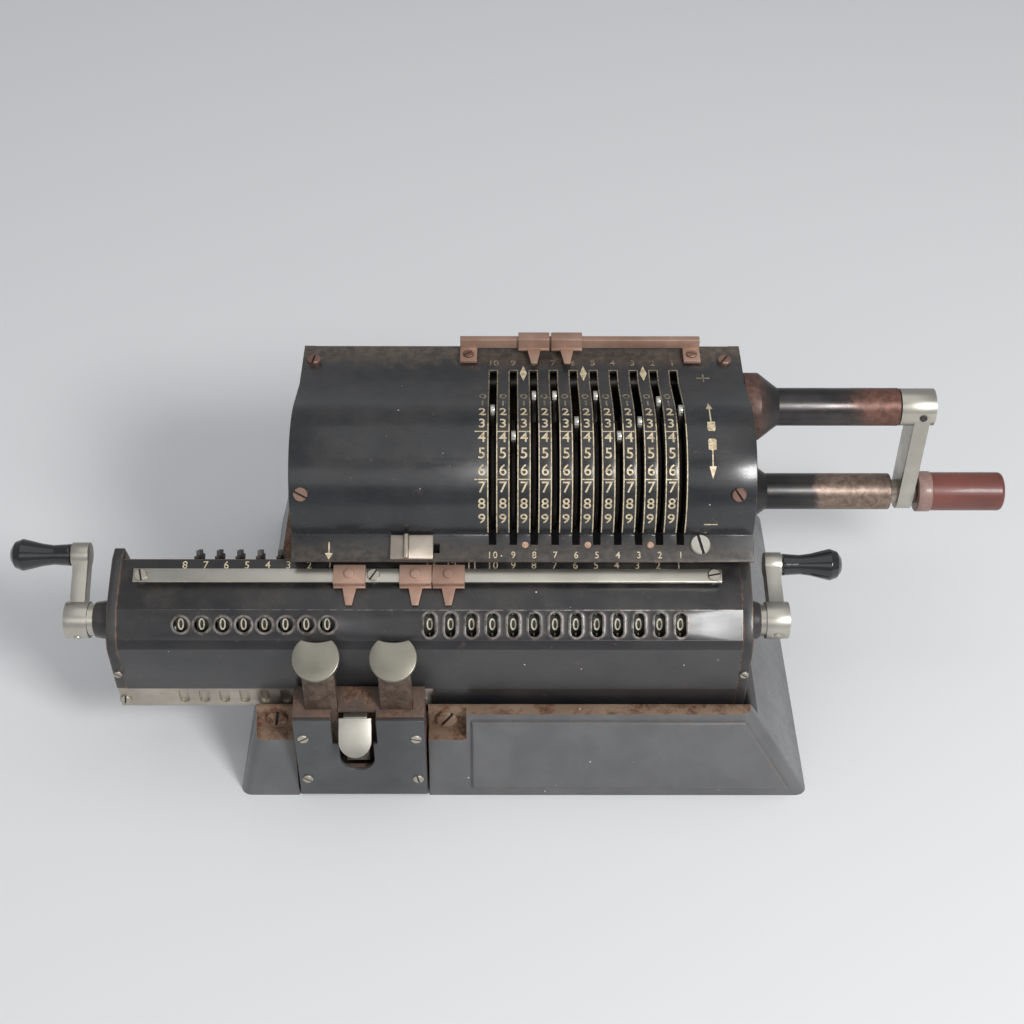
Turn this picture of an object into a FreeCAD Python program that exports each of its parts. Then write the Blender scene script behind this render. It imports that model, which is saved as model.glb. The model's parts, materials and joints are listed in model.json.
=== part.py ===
import FreeCAD, Part
import math
import os
import Sketcher

# Pinwheel calculator. X right, Y back, Z up, origin under the middle of the base
document = FreeCAD.newDocument("PinwheelCalculator")

# Driving sizes: millimetres, degrees and tooth counts
SIZES = {
    # Columns of slots and windows
    "column_pitch": 7.0,
    "first_column_x": 52.1,
    "first_counter_x": -65.94,
    # Fits between pieces
    "running_fit": 0.05,
    "side_gap": 0.3,
    "sliding_fit": 0.15,
    "seat_gap": 0.1,
    # Base casting
    "base_left_x": -100.3,
    "base_right_x": 100.3,
    "base_front_y": -74.0,
    "base_rear_y": 74.0,
    "rim_left_x": -91.3,
    "rim_right_x": 78.2,
    "rim_front_y": -67.0,
    "rim_rear_y": 70.0,
    "rim_z": 35.5,
    "rim_thickness": 5.9,
    "side_wall": 5.0,
    "base_corner": 4.0,
    "bar_low_z": 6.0,
    "bar_thickness": 6.0,
    "left_bar_width": 9.0,
    "right_bar_width": 15.0,
    "boss_radius": 6.0,
    "boss_inset": 17.0,
    "bottom_plate_z": 1.5,
    "bottom_plate_thickness": 1.5,
    "pad_left_x": -18.2,
    "pad_rise": 1.6,
    "pad_low_z": 4.0,
    "pad_high_z": 33.0,
    "pad_low_inset": 7.0,
    "pad_high_inset": 2.0,
    "pad_round": 1.2,
    "key_notch_gap": 0.8,
    "pocket_low_z": 24.5,
    "pocket_width": 14.0,
    "pocket_depth": 3.5,
    "pocket_back_low_z": 14.0,
    # Side frames
    "frame_thickness": 4.0,
    "frame_front_y": -21.5,
    "frame_waist_z": 82.0,
    "frame_foot_front_y": -18.0,
    "frame_foot_rear_y": 56.0,
    "frame_foot_height": 6.0,
    "frame_nose_depth": 4.0,
    "frame_nose_drop": 2.4,
    "tie_rod_radius": 3.0,
    "tie_nut_radius": 5.0,
    "tie_nut_length": 2.5,
    "upper_tie_y": 30.0,
    "upper_tie_z": 104.0,
    "rear_tie_y": 28.0,
    "rear_tie_z": 48.0,
    "front_tie_y": -12.0,
    "front_tie_z": 42.0,
    # Covers
    "cover_left_x": -78.3,
    "cover_right_x": 76.7,
    "cover_wall": 1.2,
    "drum_y": -7.6,
    "drum_z": 93.0,
    "drum_radius": 27.0,
    "drum_start_angle": 75.2,
    "drum_end_angle": 187.4,
    "strip_front_y": 15.6,
    "strip_front_z": 114.8,
    "strip_rear_y": 36.3,
    "strip_rear_z": 115.6,
    "lip_front_y": -42.6,
    "lip_front_z": 84.9,
    "back_bend_y": 44.0,
    "back_bend_z": 108.0,
    "back_low_y": 62.0,
    "back_low_z": 37.0,
    "slot_width": 2.4,
    "slot_front_y": -37.4,
    "slot_rear_y": 22.6,
    # Rail and sliders along the top strip
    "rail_left_x": -22.7,
    "rail_right_x": 62.1,
    "rail_y": 34.2,
    "rail_lift": 1.6,
    "rail_height": 3.4,
    "rail_depth": 2.6,
    "rail_foot_length": 7.0,
    "rail_foot_width": 6.0,
    "rail_foot_thickness": 1.2,
    "slider_width": 11.0,
    "left_slider_x": 3.4,
    "right_slider_x": 15.0,
    "slider_pointer": 9.0,
    "slider_skirt": 0.4,
    # Crank, its tubes and its rest
    "crank_y": 17.4,
    "crank_z": 103.1,
    "crank_radius": 39.9,
    "tube_radius": 6.7,
    "bell_radius": 12.0,
    "bell_rim_x": 82.2,
    "bell_end_x": 89.2,
    "upper_tube_end_x": 132.1,
    "rest_tube_end_x": 135.0,
    "rest_bore_radius": 4.6,
    "rest_bore_depth": 14.0,
    "crank_shaft_radius": 4.0,
    "crank_hub_left_x": 132.4,
    "crank_hub_right_x": 144.5,
    "crank_hub_radius": 6.6,
    "arm_left_x": 137.4,
    "arm_right_x": 142.8,
    "arm_width": 12.5,
    "crank_pin_radius": 1.3,
    "latch_tip_x": 130.8,
    "latch_tip_radius": 3.0,
    "latch_cone_radius": 4.4,
    "latch_stem_radius": 3.0,
    "latch_end_x": 170.0,
    "latch_collar_length": 0.8,
    "crank_grip_left_x": 144.9,
    "crank_grip_right_x": 176.7,
    "crank_grip_radius": 7.5,
    "grip_ring_length": 5.0,
    "grip_ring_step": 0.4,
    "grip_dome_radius": 1.6,
    "hub_cap_length": 2.0,
    # Gear train from the crank to the rotor
    "train_module": 1.0,
    "crank_teeth": 15,
    "idler_teeth": 12,
    "rotor_teeth": 15,
    "train_left_x": 60.2,
    "train_width": 4.0,
    "idler_stud_radius": 2.5,
    "stud_head_radius": 4.0,
    "stud_head_length": 1.7,
    "tooth_backlash": 0.2,
    "pressure_angle": 20.0,
    # Rotor with pinwheels
    "rotor_shaft_radius": 4.0,
    "collar_radius": 5.6,
    "collar_length": 3.0,
    "shaft_inset": 0.5,
    "disc_radius": 20.0,
    "disc_offset": 1.5,
    "disc_width": 2.8,
    "disc_hub_radius": 6.9,
    "disc_hub_stand": 0.6,
    "pin_count": 9,
    "pin_pitch_angle": 9.3,
    "first_pin_angle": 205.0,
    "pin_width": 1.4,
    "pin_thickness": 1.6,
    "pin_root_radius": 14.0,
    "pin_rest_radius": 21.0,
    "pin_out_radius": 25.2,
    "counter_finger_radius": 25.2,
    "finger_disc_radius": 10.0,
    # Setting levers
    "lever_thickness": 1.5,
    "lever_ring_radius": 19.0,
    "lever_arm_width": 3.6,
    "lever_tip_radius": 29.5,
    "first_digit_angle": 63.6,
    "digit_angle": 12.0,
    # Carriage
    "carriage_left_x": -139.9,
    "carriage_right_x": 76.4,
    "plate_thickness": 3.5,
    "carriage_wall": 1.2,
    "carriage_top_y": -36.2,
    "carriage_top_z": 79.7,
    "ridge_y": -53.4,
    "ridge_z": 73.0,
    "window_band": 10.3,
    "window_tilt": 45.8,
    "brow_y": -62.0,
    "brow_z": 62.6,
    "facet_low_y": -60.8,
    "facet_low_z": 41.7,
    "skirt_low_z": 32.5,
    "plate_rear_y": -27.6,
    "plate_low_z": 31.5,
    "plate_low_rear_y": -42.0,
    "window_radius": 1.8,
    "window_height": 8.0,
    "round_window_radius": 2.5,
    "window_rim_width": 0.8,
    "window_rim_height": 0.5,
    "wheel_axis_y": -48.8,
    "wheel_axis_z": 63.3,
    "wheel_radius": 8.0,
    "wheel_width": 4.0,
    "wheel_bore": 2.57,
    "wheel_neck_wall": 1.5,
    "wheel_module": 1.25,
    "wheel_teeth": 10,
    "step_teeth": 15,
    "step_angle": 14.9,
    "gear_offset": 2.3,
    "gear_width": 1.4,
    "step_axle_radius": 2.0,
    "middle_plate_x": -51.6,
    "middle_plate_thickness": 3.0,
    "guide_rod_y": -48.8,
    "guide_rod_z": 44.0,
    "guide_rod_radius": 3.0,
    "bracket_width": 5.0,
    "bracket_depth": 11.0,
    "bracket_rise": 5.0,
    "rack_right_x": -31.3,
    "rack_thickness": 2.0,
    "rack_high_z": 45.0,
    "rack_first_notch_x": -117.7,
    "rack_notch_radius": 1.7,
    "rack_notch_depth": 1.2,
    "rack_notch_low_z": 33.2,
    "rack_notch_high_z": 40.0,
    "rack_screw_z": 34.9,
    "rack_screw_inset": 4.0,
    "rack_screw_radius": 2.0,
    "rack_screw_height": 0.8,
    "plate_screw_z": 49.8,
    "edge_screw_radius": 1.5,
    "edge_screw_height": 0.7,
    # Bar and markers on the carriage
    "bar_left_x": -131.5,
    "bar_right_x": 66.2,
    "bar_along": 11.3,
    "bar_width": 5.0,
    "bar_height": 1.2,
    "bar_lift": 1.7,
    "bar_middle_screw_x": -50.8,
    "bar_screw_inset": 2.6,
    "bar_screw_margin": 0.3,
    "bar_screw_height": 0.7,
    "marker_width": 10.8,
    "marker_wall": 0.8,
    "marker_lift": 0.35,
    "marker_fold": 0.8,
    "marker_pointer": 7.5,
    "pointer_root_width": 4.6,
    "pointer_tip_width": 2.2,
    "pointer_shoulder": 1.3,
    "pointer_thickness": 0.9,
    "marker_rivet_radius": 1.65,
    "marker_rivet_height": 0.7,
    "counter_marker_x": -58.9,
    "left_marker_x": -36.7,
    "right_marker_x": -25.6,
    # Clearing cranks
    "clear_arm_length": 22.7,
    "clear_hub_radius": 6.3,
    "clear_hub_length": 7.8,
    "clear_collar_radius": 5.4,
    "clear_shaft_radius": 2.5,
    "clear_arm_width": 5.0,
    "clear_arm_depth": 6.4,
    "clear_arm_inset": 1.2,
    "clear_collar_length": 1.9,
    "clear_stud_radius": 1.8,
    "clear_stud_inset": 6.0,
    "clear_head_radius": 4.3,
    "clear_head_length": 5.8,
    "clear_head_inset": 0.4,
    "clear_grip_length": 20.9,
    "clear_grip_root_radius": 3.8,
    "clear_grip_neck_radius": 3.4,
    "clear_grip_bulb_radius": 5.55,
    "clear_pin_radius": 1.3,
    "clear_pin_depth": 2.4,
    "clear_pin_stand": 0.2,
    "clear_shaft_play": 1.3,
    "left_hub_x": -155.4,
    "right_hub_x": 89.5,
    "left_clear_angle": 31.6,
    "right_clear_angle": 12.0,
    "boss_end_radius": 6.0,
    "boss_flare": 1.0,
    "boss_length": 3.3,
    "left_boss_length": 5.6,
    # Key block and keys
    "block_left_x": -78.7,
    "block_right_x": -34.0,
    "block_front_y": -74.4,
    "block_rear_y": -62.3,
    "block_front_z": 40.4,
    "block_rear_z": 44.6,
    "block_low_z": 1.0,
    "block_wall": 1.6,
    "front_plate_thickness": 1.6,
    "key_slot_left_x": -65.8,
    "key_slot_right_x": -50.4,
    "key_slot_low_z": 14.3,
    "wide_slot_depth": 12.0,
    "key_left_x": -69.0,
    "key_right_x": -43.5,
    "key_y": -68.6,
    "key_z": 65.0,
    "key_cap_radius": 7.9,
    "key_cap_thickness": 2.6,
    "key_cap_tilt": 30.0,
    "key_cut_radius": 15.0,
    "key_cut_back": 5.2,
    "key_stem_width": 11.0,
    "key_stem_thickness": 3.0,
    "key_stem_low_z": 22.0,
    "release_x": -57.7,
    "release_width": 11.2,
    "release_thickness": 2.4,
    "release_reach": 13.5,
    "release_root_y": -71.4,
    "release_root_z": 38.6,
    "release_tilt": 48.0,
    "release_stem_width": 8.0,
    "release_stem_depth": 2.6,
    "release_low_z": 16.0,
    # Knob on the lip and fasteners
    "knob_left_x": -45.1,
    "knob_right_x": -30.6,
    "knob_ridge_x": -39.7,
    "knob_length": 8.6,
    "knob_thickness": 1.4,
    "knob_ridge_height": 3.0,
    "knob_ridge_width": 1.6,
    "knob_slot_width": 3.0,
    "knob_travel": 4.0,
    "knob_slot_inset": 2.0,
    "knob_shank_inset": 4.0,
    "knob_catch_rim": 1.0,
    "knob_catch_thickness": 0.8,
    "cover_screw_radius": 2.4,
    "cover_screw_height": 1.1,
    "cover_screw_left_inset": 4.0,
    "cover_screw_right_inset": 6.0,
    "strip_screw_y": 28.0,
    "drum_screw_angle": 153.0,
    "rail_screw_radius": 1.9,
    "rail_screw_height": 0.8,
    "lip_screw_x": 58.8,
    "lip_screw_inset": 5.2,
    "lip_screw_radius": 3.5,
    "lip_screw_height": 1.0,
    "plate_screw_radius": 1.9,
    "plate_screw_height": 0.6,
    "plate_screw_inset": 3.0,
    "upper_plate_screw_z": 31.4,
    "lower_plate_screw_z": 9.8,
    "pocket_screw_radius": 3.6,
    "pocket_screw_height": 1.6,
    "base_screw_radius": 3.4,
    "base_screw_height": 1.4,
    "base_screw_shank": 1.9,
}

DIGITS = (2, 1, 3, 4, 0, 3, 0, 0, 4, 2)
RESULT_COLUMNS = 13
COUNTER_COLUMNS = 8

sheet = document.addObject("Spreadsheet::Sheet", "Sizes")
for row_number, (name, number) in enumerate(SIZES.items(), start=1):
    sheet.set("A" + str(row_number), name)
    sheet.set("B" + str(row_number), str(number))
    sheet.setAlias("B" + str(row_number), name)
document.recompute()


class Size:
    # A number together with the sheet expression that gives it
    def __init__(self, number, text):
        self.number = number
        self.text = text

    def joined(self, other, sign, number):
        return Size(number, "(" + self.text + sign + as_size(other).text + ")")

    def __add__(self, other):
        return self.joined(other, " + ", self.number + as_size(other).number)

    def __sub__(self, other):
        return self.joined(other, " - ", self.number - as_size(other).number)

    def __mul__(self, other):
        return self.joined(other, " * ", self.number * as_size(other).number)

    def __truediv__(self, other):
        return self.joined(other, " / ", self.number / as_size(other).number)

    def __radd__(self, other):
        return as_size(other) + self

    def __rsub__(self, other):
        return as_size(other) - self

    def __rmul__(self, other):
        return as_size(other) * self

    def __rtruediv__(self, other):
        return as_size(other) / self

    def __neg__(self):
        return self * -1


def as_size(value):
    if isinstance(value, Size):
        return value
    return Size(float(value), "(" + repr(float(value)) + ")")


def size(name):
    return Size(float(sheet.get(name)), "Sizes." + name)


def sine(angle):
    return Size(math.sin(math.radians(angle.number)), "sin(" + angle.text + ")")


def cosine(angle):
    return Size(math.cos(math.radians(angle.number)), "cos(" + angle.text + ")")


def root(value):
    return Size(math.sqrt(value.number), "sqrt(" + value.text + ")")


def slope(rise, run):
    angle = math.degrees(math.atan2(rise.number, run.number))
    return Size(angle, "(atan2(" + rise.text + "; " + run.text + ") / 1 deg)")


def bind(thing, path, value):
    thing.setExpression(path, as_size(value).text)


def move(thing, x=0, y=0, z=0):
    bind(thing, "Placement.Base.x", x)
    bind(thing, "Placement.Base.y", y)
    bind(thing, "Placement.Base.z", z)


def turn(thing, axis, angle):
    thing.Placement = FreeCAD.Placement(FreeCAD.Vector(), FreeCAD.Rotation(axis, as_size(angle).number))
    bind(thing, "Placement.Rotation.Angle", angle)


ALONG_X = FreeCAD.Vector(1, 0, 0)
ALONG_Y = FreeCAD.Vector(0, 1, 0)


# Primitives
def box(label, low, high):
    block = document.addObject("Part::Box", label)
    for side, start, end in zip(("Length", "Width", "Height"), low, high):
        bind(block, side, as_size(end) - start)
    move(block, *low)
    return block


def rod_x(label, y, z, radius, low, high):
    rod = document.addObject("Part::Cylinder", label)
    bind(rod, "Radius", radius)
    bind(rod, "Height", as_size(high) - low)
    turn(rod, ALONG_Y, 90)
    move(rod, low, y, z)
    return rod


def rod_z(label, x, y, radius, low, high):
    rod = document.addObject("Part::Cylinder", label)
    bind(rod, "Radius", radius)
    bind(rod, "Height", as_size(high) - low)
    move(rod, x, y, low)
    return rod


def rod_y(label, x, z, radius, low, high):
    rod = document.addObject("Part::Cylinder", label)
    bind(rod, "Radius", radius)
    bind(rod, "Height", as_size(high) - low)
    turn(rod, ALONG_X, -90)
    move(rod, x, low, z)
    return rod


def cone_x(label, y, z, left_radius, right_radius, low, high):
    cone = document.addObject("Part::Cone", label)
    bind(cone, "Radius1", left_radius)
    bind(cone, "Radius2", right_radius)
    bind(cone, "Height", as_size(high) - low)
    turn(cone, ALONG_Y, 90)
    move(cone, low, y, z)
    return cone


# Booleans
def fuse(label, pieces):
    joined = document.addObject("Part::MultiFuse", label)
    joined.Shapes = pieces
    return joined


def cut(label, base, tools):
    result = document.addObject("Part::Cut", label)
    result.Base = base
    result.Tool = tools[0] if len(tools) == 1 else fuse(label + "_tools", tools)
    return result


def group(label, pieces):
    bundle = document.addObject("Part::Compound", label)
    bundle.Links = pieces
    return bundle


# Sketches: corners, and between two corners an arc about a centre
def corner(first, second):
    return ("corner", as_size(first), as_size(second))


def arc_about(first, second, anticlockwise):
    return ("arc", as_size(first), as_size(second), anticlockwise)


def hold(sketch, direction, index, point, value):
    rule = Sketcher.Constraint(direction, -1, 1, index, point, value.number)
    number = sketch.addConstraint(rule)
    bind(sketch, "Constraints[" + str(number) + "]", value)


def draw(sketch, steps, closed=True):
    corners = [step for step in steps if step[0] == "corner"]
    arcs = {}
    passed = 0
    for step in steps:
        if step[0] == "corner":
            passed += 1
        else:
            arcs[passed - 1] = step
    count = len(corners) if closed else len(corners) - 1
    arc_ends = {}
    for index in range(count):
        start = corners[index]
        end = corners[(index + 1) % len(corners)]
        start_point = FreeCAD.Vector(start[1].number, start[2].number, 0)
        end_point = FreeCAD.Vector(end[1].number, end[2].number, 0)
        if index not in arcs:
            sketch.addGeometry(Part.LineSegment(start_point, end_point))
            continue
        arc = arcs[index]
        centre = FreeCAD.Vector(arc[1].number, arc[2].number, 0)
        from_centre = start_point - centre
        to_centre = end_point - centre
        circle = Part.Circle(centre, FreeCAD.Vector(0, 0, 1), from_centre.Length)
        first_angle = math.atan2(from_centre.y, from_centre.x)
        last_angle = math.atan2(to_centre.y, to_centre.x)
        if not arc[3]:
            first_angle, last_angle = last_angle, first_angle
        if last_angle < first_angle:
            last_angle += 2 * math.pi
        sketch.addGeometry(Part.ArcOfCircle(circle, first_angle, last_angle))
        hold(sketch, "DistanceX", index, 3, arc[1])
        hold(sketch, "DistanceY", index, 3, arc[2])
        steep = abs(to_centre.x) > abs(to_centre.y)
        arc_ends[(index + 1) % len(corners)] = "DistanceY" if steep else "DistanceX"
    for index in range(count):
        if not closed and index == count - 1:
            break
        end_side = 1 if index in arcs and not arcs[index][3] else 2
        following = (index + 1) % count
        start_side = 2 if following in arcs and not arcs[following][3] else 1
        sketch.addConstraint(Sketcher.Constraint("Coincident", index, end_side, following, start_side))
    for index, place in enumerate(corners):
        geometry = index
        point = 2 if index in arcs and not arcs[index][3] else 1
        if index == count:
            geometry = index - 1
            point = 1 if geometry in arcs and not arcs[geometry][3] else 2
        if arc_ends.get(index) != "DistanceY":
            hold(sketch, "DistanceX", geometry, point, place[1])
        if arc_ends.get(index) != "DistanceX":
            hold(sketch, "DistanceY", geometry, point, place[2])


# Plates cut to an outline. The outline lies in YZ, XZ or XY
def plate(label, plane, steps, low, high):
    body = document.addObject("PartDesign::Body", label)
    sketch = body.newObject("Sketcher::SketchObject", label + "_outline")
    matches = [item for item in body.Origin.OriginFeatures if item.Role == plane + "_Plane"]
    sketch.AttachmentSupport = (matches[0], [""])
    sketch.MapMode = "FlatFace"
    draw(sketch, steps)
    pad = body.newObject("PartDesign::Pad", label + "_pad")
    pad.Profile = sketch
    bind(pad, "Length", as_size(high) - low)
    if plane == "YZ":
        move(body, low, 0, 0)
    elif plane == "XZ":
        move(body, 0, high, 0)
    else:
        move(body, 0, 0, low)
    return body


# Bent sheet: an outer line in YZ, and the same line set in by the wall
def left_of(start, end):
    run = end[1] - start[1]
    rise = end[2] - start[2]
    length = root(run * run + rise * rise)
    return -rise / length, run / length


def set_in(steps, index, wall_size):
    place = steps[index]
    before = steps[index - 1] if index > 0 else None
    after = steps[index + 1] if index + 1 < len(steps) else None
    for side in (before, after):
        if side is not None and side[0] == "arc":
            across, up = place[1] - side[1], place[2] - side[2]
            share = 1 - wall_size / root(across * across + up * up)
            return corner(side[1] + across * share, side[2] + up * share)
    if before is None:
        normal = left_of(place, after)
        return corner(place[1] + normal[0] * wall_size, place[2] + normal[1] * wall_size)
    first = left_of(before, place)
    if after is None:
        return corner(place[1] + first[0] * wall_size, place[2] + first[1] * wall_size)
    second = left_of(place, after)
    share = wall_size / (1 + first[0] * second[0] + first[1] * second[1])
    return corner(place[1] + (first[0] + second[0]) * share, place[2] + (first[1] + second[1]) * share)


def bent_sheet(label, steps, wall_size, low, high):
    inner = []
    for index, step in enumerate(steps):
        if step[0] == "corner":
            inner.append(set_in(steps, index, wall_size))
        else:
            inner.append(("arc", step[1], step[2], not step[3]))
    return plate(label, "YZ", steps + inner[::-1], low, high)


# Toothed wheels with involute flanks, axis along X
def involute(angle):
    return math.tan(angle) - angle


def gear_blank(teeth, module, low_x, width):
    pressure = math.radians(size("pressure_angle").number)
    radius = module * teeth / 2
    base = radius * math.cos(pressure)
    half_tooth = math.pi / (2 * teeth) - size("tooth_backlash").number / (2 * radius)
    root = radius - 1.2 * module
    first = max(root, base)
    flank_steps = 4
    flank = [(root, half_tooth + involute(pressure))] if root < base else []
    for step in range(flank_steps + 1):
        reach = first + (radius + module - first) * step / flank_steps
        lean = half_tooth + involute(pressure) - involute(math.acos(base / reach))
        flank.append((reach, lean))
    points = []
    for tooth in range(teeth):
        middle = 2 * math.pi * tooth / teeth
        edge = [(reach, middle - lean) for reach, lean in flank]
        edge += [(reach, middle + lean) for reach, lean in reversed(flank)]
        for reach, angle in edge:
            points.append(FreeCAD.Vector(low_x, reach * math.cos(angle), reach * math.sin(angle)))
    points.append(points[0])
    face = Part.Face(Part.makePolygon(points))
    return face.extrude(FreeCAD.Vector(width, 0, 0))


def gear(label, teeth, module, bore, low_x, width, y, z, angle):
    wheel = document.addObject("Part::Feature", label)
    blank = gear_blank(teeth, module.number, 0, width.number)
    if bore is not None:
        hole = Part.makeCylinder(bore.number, width.number, FreeCAD.Vector(), ALONG_X)
        blank = blank.cut(hole)
    wheel.Shape = blank
    turn(wheel, ALONG_X, angle)
    move(wheel, low_x, y, z)
    return wheel


column_pitch = size("column_pitch")
wall = size("cover_wall")
gap = size("side_gap")
fit = size("running_fit")
drum_y = size("drum_y")
drum_z = size("drum_z")
cover_left = size("cover_left_x")
cover_right = size("cover_right_x")
frame_wall = size("frame_thickness")
axis_y = size("wheel_axis_y")
axis_z = size("wheel_axis_z")


def column_x(index):
    return size("first_column_x") - column_pitch * index


def counter_x(index):
    return size("first_counter_x") - column_pitch * index


# Base casting
def wedge(label, low, high, top_low, top_high):
    block = document.addObject("Part::Wedge", label)
    bind(block, "Xmin", low[0])
    bind(block, "Xmax", high[0])
    bind(block, "Ymin", low[2])
    bind(block, "Ymax", high[2])
    bind(block, "Zmin", -as_size(high[1]))
    bind(block, "Zmax", -as_size(low[1]))
    bind(block, "X2min", top_low[0])
    bind(block, "X2max", top_high[0])
    bind(block, "Z2min", -as_size(top_high[1]))
    bind(block, "Z2max", -as_size(top_low[1]))
    block.Placement = FreeCAD.Placement(FreeCAD.Vector(), FreeCAD.Rotation(ALONG_X, 90))
    return block


base_left = size("base_left_x")
base_right = size("base_right_x")
base_front = size("base_front_y")
base_rear = size("base_rear_y")
rim_left = size("rim_left_x")
rim_right = size("rim_right_x")
rim_front = size("rim_front_y")
rim_rear = size("rim_rear_y")
rim_z = size("rim_z")
side_wall = size("side_wall")
bar_low = size("bar_low_z")
bar_high = bar_low + size("bar_thickness")
block_left = size("block_left_x")
block_right = size("block_right_x")
block_rear = size("block_rear_y")
left_bar_right_x = cover_left + size("left_bar_width")
right_bar_left_x = cover_right - size("right_bar_width")
boss_places = [
    (base_left + size("boss_inset"), base_front + size("boss_inset")),
    (base_right - size("boss_inset"), base_front + size("boss_inset")),
    (base_left + size("boss_inset"), base_rear - size("boss_inset")),
    (base_right - size("boss_inset"), base_rear - size("boss_inset")),
]
plate_top = size("bottom_plate_z") + size("bottom_plate_thickness")


def upright_edges(shape):
    numbers = []
    for index, edge in enumerate(shape.Edges, start=1):
        ends = [vertex.Point for vertex in edge.Vertexes]
        if len(ends) == 2 and abs(ends[0].z - ends[1].z) > 1:
            numbers.append(index)
    return numbers


def front_edges(shape):
    # The rim of the foremost face
    foremost = min(shape.Faces, key=lambda face: face.CenterOfMass.y)
    numbers = []
    for index, edge in enumerate(shape.Edges, start=1):
        if any(edge.isSame(own) for own in foremost.Edges):
            numbers.append(index)
    return numbers


def rounded(label, base, radius, numbers):
    result = document.addObject("Part::Fillet", label)
    result.Base = base
    result.Edges = [(number, radius.number, radius.number) for number in numbers]
    return result


pocket_spans = [
    ("left", block_left - size("pocket_width"), block_left),
    ("right", block_right, block_right + size("pocket_width")),
]


def make_base():
    outer = wedge(
        "base_outer",
        (base_left, base_front, 0),
        (base_right, base_rear, rim_z),
        (rim_left, rim_front),
        (rim_right, rim_rear),
    )
    document.recompute()
    body = rounded("base_rounded", outer, size("base_corner"), upright_edges(outer.Shape))
    rim = size("rim_thickness")
    inner = wedge(
        "base_inner",
        (base_left + side_wall, base_front + rim, -1),
        (base_right - side_wall, base_rear - side_wall, rim_z + 1),
        (rim_left + side_wall, rim_front + rim),
        (rim_right - side_wall, rim_rear - side_wall),
    )
    hollow = cut("base_walls", body, [inner])
    bars = [
        box(
            "left_bar",
            (cover_left, base_front + rim, bar_low),
            (left_bar_right_x, base_rear - side_wall, bar_high),
        ),
        box(
            "right_bar",
            (right_bar_left_x, base_front + rim, bar_low),
            (cover_right, base_rear - side_wall, bar_high),
        ),
    ]
    bosses = []
    for index, (x, y) in enumerate(boss_places):
        bosses.append(rod_z("boss_" + str(index), x, y, size("boss_radius"), plate_top, bar_high))
    outer_copy = wedge(
        "pad_form",
        (base_left, base_front - size("pad_rise"), 0),
        (base_right, base_rear, rim_z),
        (rim_left, rim_front - size("pad_rise")),
        (rim_right, rim_rear),
    )
    pad_limit = plate(
        "pad_limit",
        "XZ",
        [
            corner(size("pad_left_x"), size("pad_low_z")),
            corner(base_right - size("pad_low_inset"), size("pad_low_z")),
            corner(rim_right - size("pad_high_inset"), size("pad_high_z")),
            corner(size("pad_left_x"), size("pad_high_z")),
        ],
        base_front - 5,
        rim_front + 1,
    )
    pad_block = document.addObject("Part::Common", "front_pad")
    pad_block.Base = outer_copy
    pad_block.Tool = pad_limit
    document.recompute()
    pad = rounded("pad_rounded", pad_block, size("pad_round"), front_edges(pad_block.Shape))
    backs = []
    for side, low, high in pocket_spans:
        backs.append(
            box(
                side + "_pocket_back",
                (low, rim_front + 1, size("pocket_back_low_z")),
                (high, rim_front + rim - gap, rim_z),
            )
        )
    full = fuse("base_full", [hollow, pad] + bars + bosses + backs)
    tools = [
        box(
            "key_notch",
            (block_left - size("key_notch_gap"), base_front - 5, -1),
            (block_right + size("key_notch_gap"), block_rear + gap, rim_z + 1),
        ),
        box(
            "carriage_notch",
            (base_left - 1, size("brow_y") - gap, size("plate_low_z") - 1),
            (base_right + 1, size("plate_rear_y") + 2, rim_z + 1),
        ),
    ]
    tools.append(
        box(
            "frame_notch",
            (cover_right - frame_wall, size("frame_front_y") - gap, bar_high),
            (cover_right, size("back_low_y") + gap, rim_z + 1),
        )
    )
    pocket_rear = rim_front + size("pocket_depth")
    for side, low, high in pocket_spans:
        tools.append(
            box(
                side + "_pocket",
                (low, base_front - 5, size("pocket_low_z")),
                (high, pocket_rear, rim_z + 1),
            )
        )
    for index, (x, y) in enumerate(boss_places):
        tools.append(rod_z("boss_hole_" + str(index), x, y, size("base_screw_shank"), -1, bar_high - 1))
    return cut("base_casting", full, tools)


def make_bottom_plate():
    low = size("bottom_plate_z")
    inset = side_wall + 3.5
    bottom = box(
        "bottom_sheet",
        (base_left + inset, block_rear + 1, low),
        (base_right - inset, base_rear - inset, plate_top),
    )
    holes = []
    for index, (x, y) in enumerate(boss_places):
        radius = size("base_screw_shank") + fit
        holes.append(rod_z("plate_hole_" + str(index), x, y, radius, low - 1, plate_top + 1))
    return cut("bottom_plate", bottom, holes)


def make_base_screws():
    screws = []
    low = size("bottom_plate_z")
    for index, (x, y) in enumerate(boss_places):
        head_low = low - size("base_screw_height")
        head = rod_z("base_head_" + str(index), x, y, size("base_screw_radius"), head_low, low)
        shank = rod_z("base_shank_" + str(index), x, y, size("base_screw_shank"), low, bar_high - 2)
        screws.append(fuse("base_screw_" + str(index), [head, shank]))
    return group("base_screws", screws)


# Covers: numbered front sheet over the drum, and the plain rear sheet
start_angle = size("drum_start_angle")
end_angle = size("drum_end_angle")
drum_radius = size("drum_radius")
drum_start = corner(drum_y + drum_radius * cosine(start_angle), drum_z + drum_radius * sine(start_angle))
drum_end = corner(drum_y + drum_radius * cosine(end_angle), drum_z + drum_radius * sine(end_angle))
strip_rear = corner(size("strip_rear_y"), size("strip_rear_z"))
strip_front = corner(size("strip_front_y"), size("strip_front_z"))
lip_front = corner(size("lip_front_y"), size("lip_front_z"))
back_bend = corner(size("back_bend_y"), size("back_bend_z"))
back_low = corner(size("back_low_y"), size("back_low_z"))
front_path = [strip_rear, strip_front, drum_start, arc_about(drum_y, drum_z, True), drum_end, lip_front]
lip_slope = slope(drum_end[2] - size("lip_front_z"), drum_end[1] - size("lip_front_y"))
slot_half = size("slot_width") / 2


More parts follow.
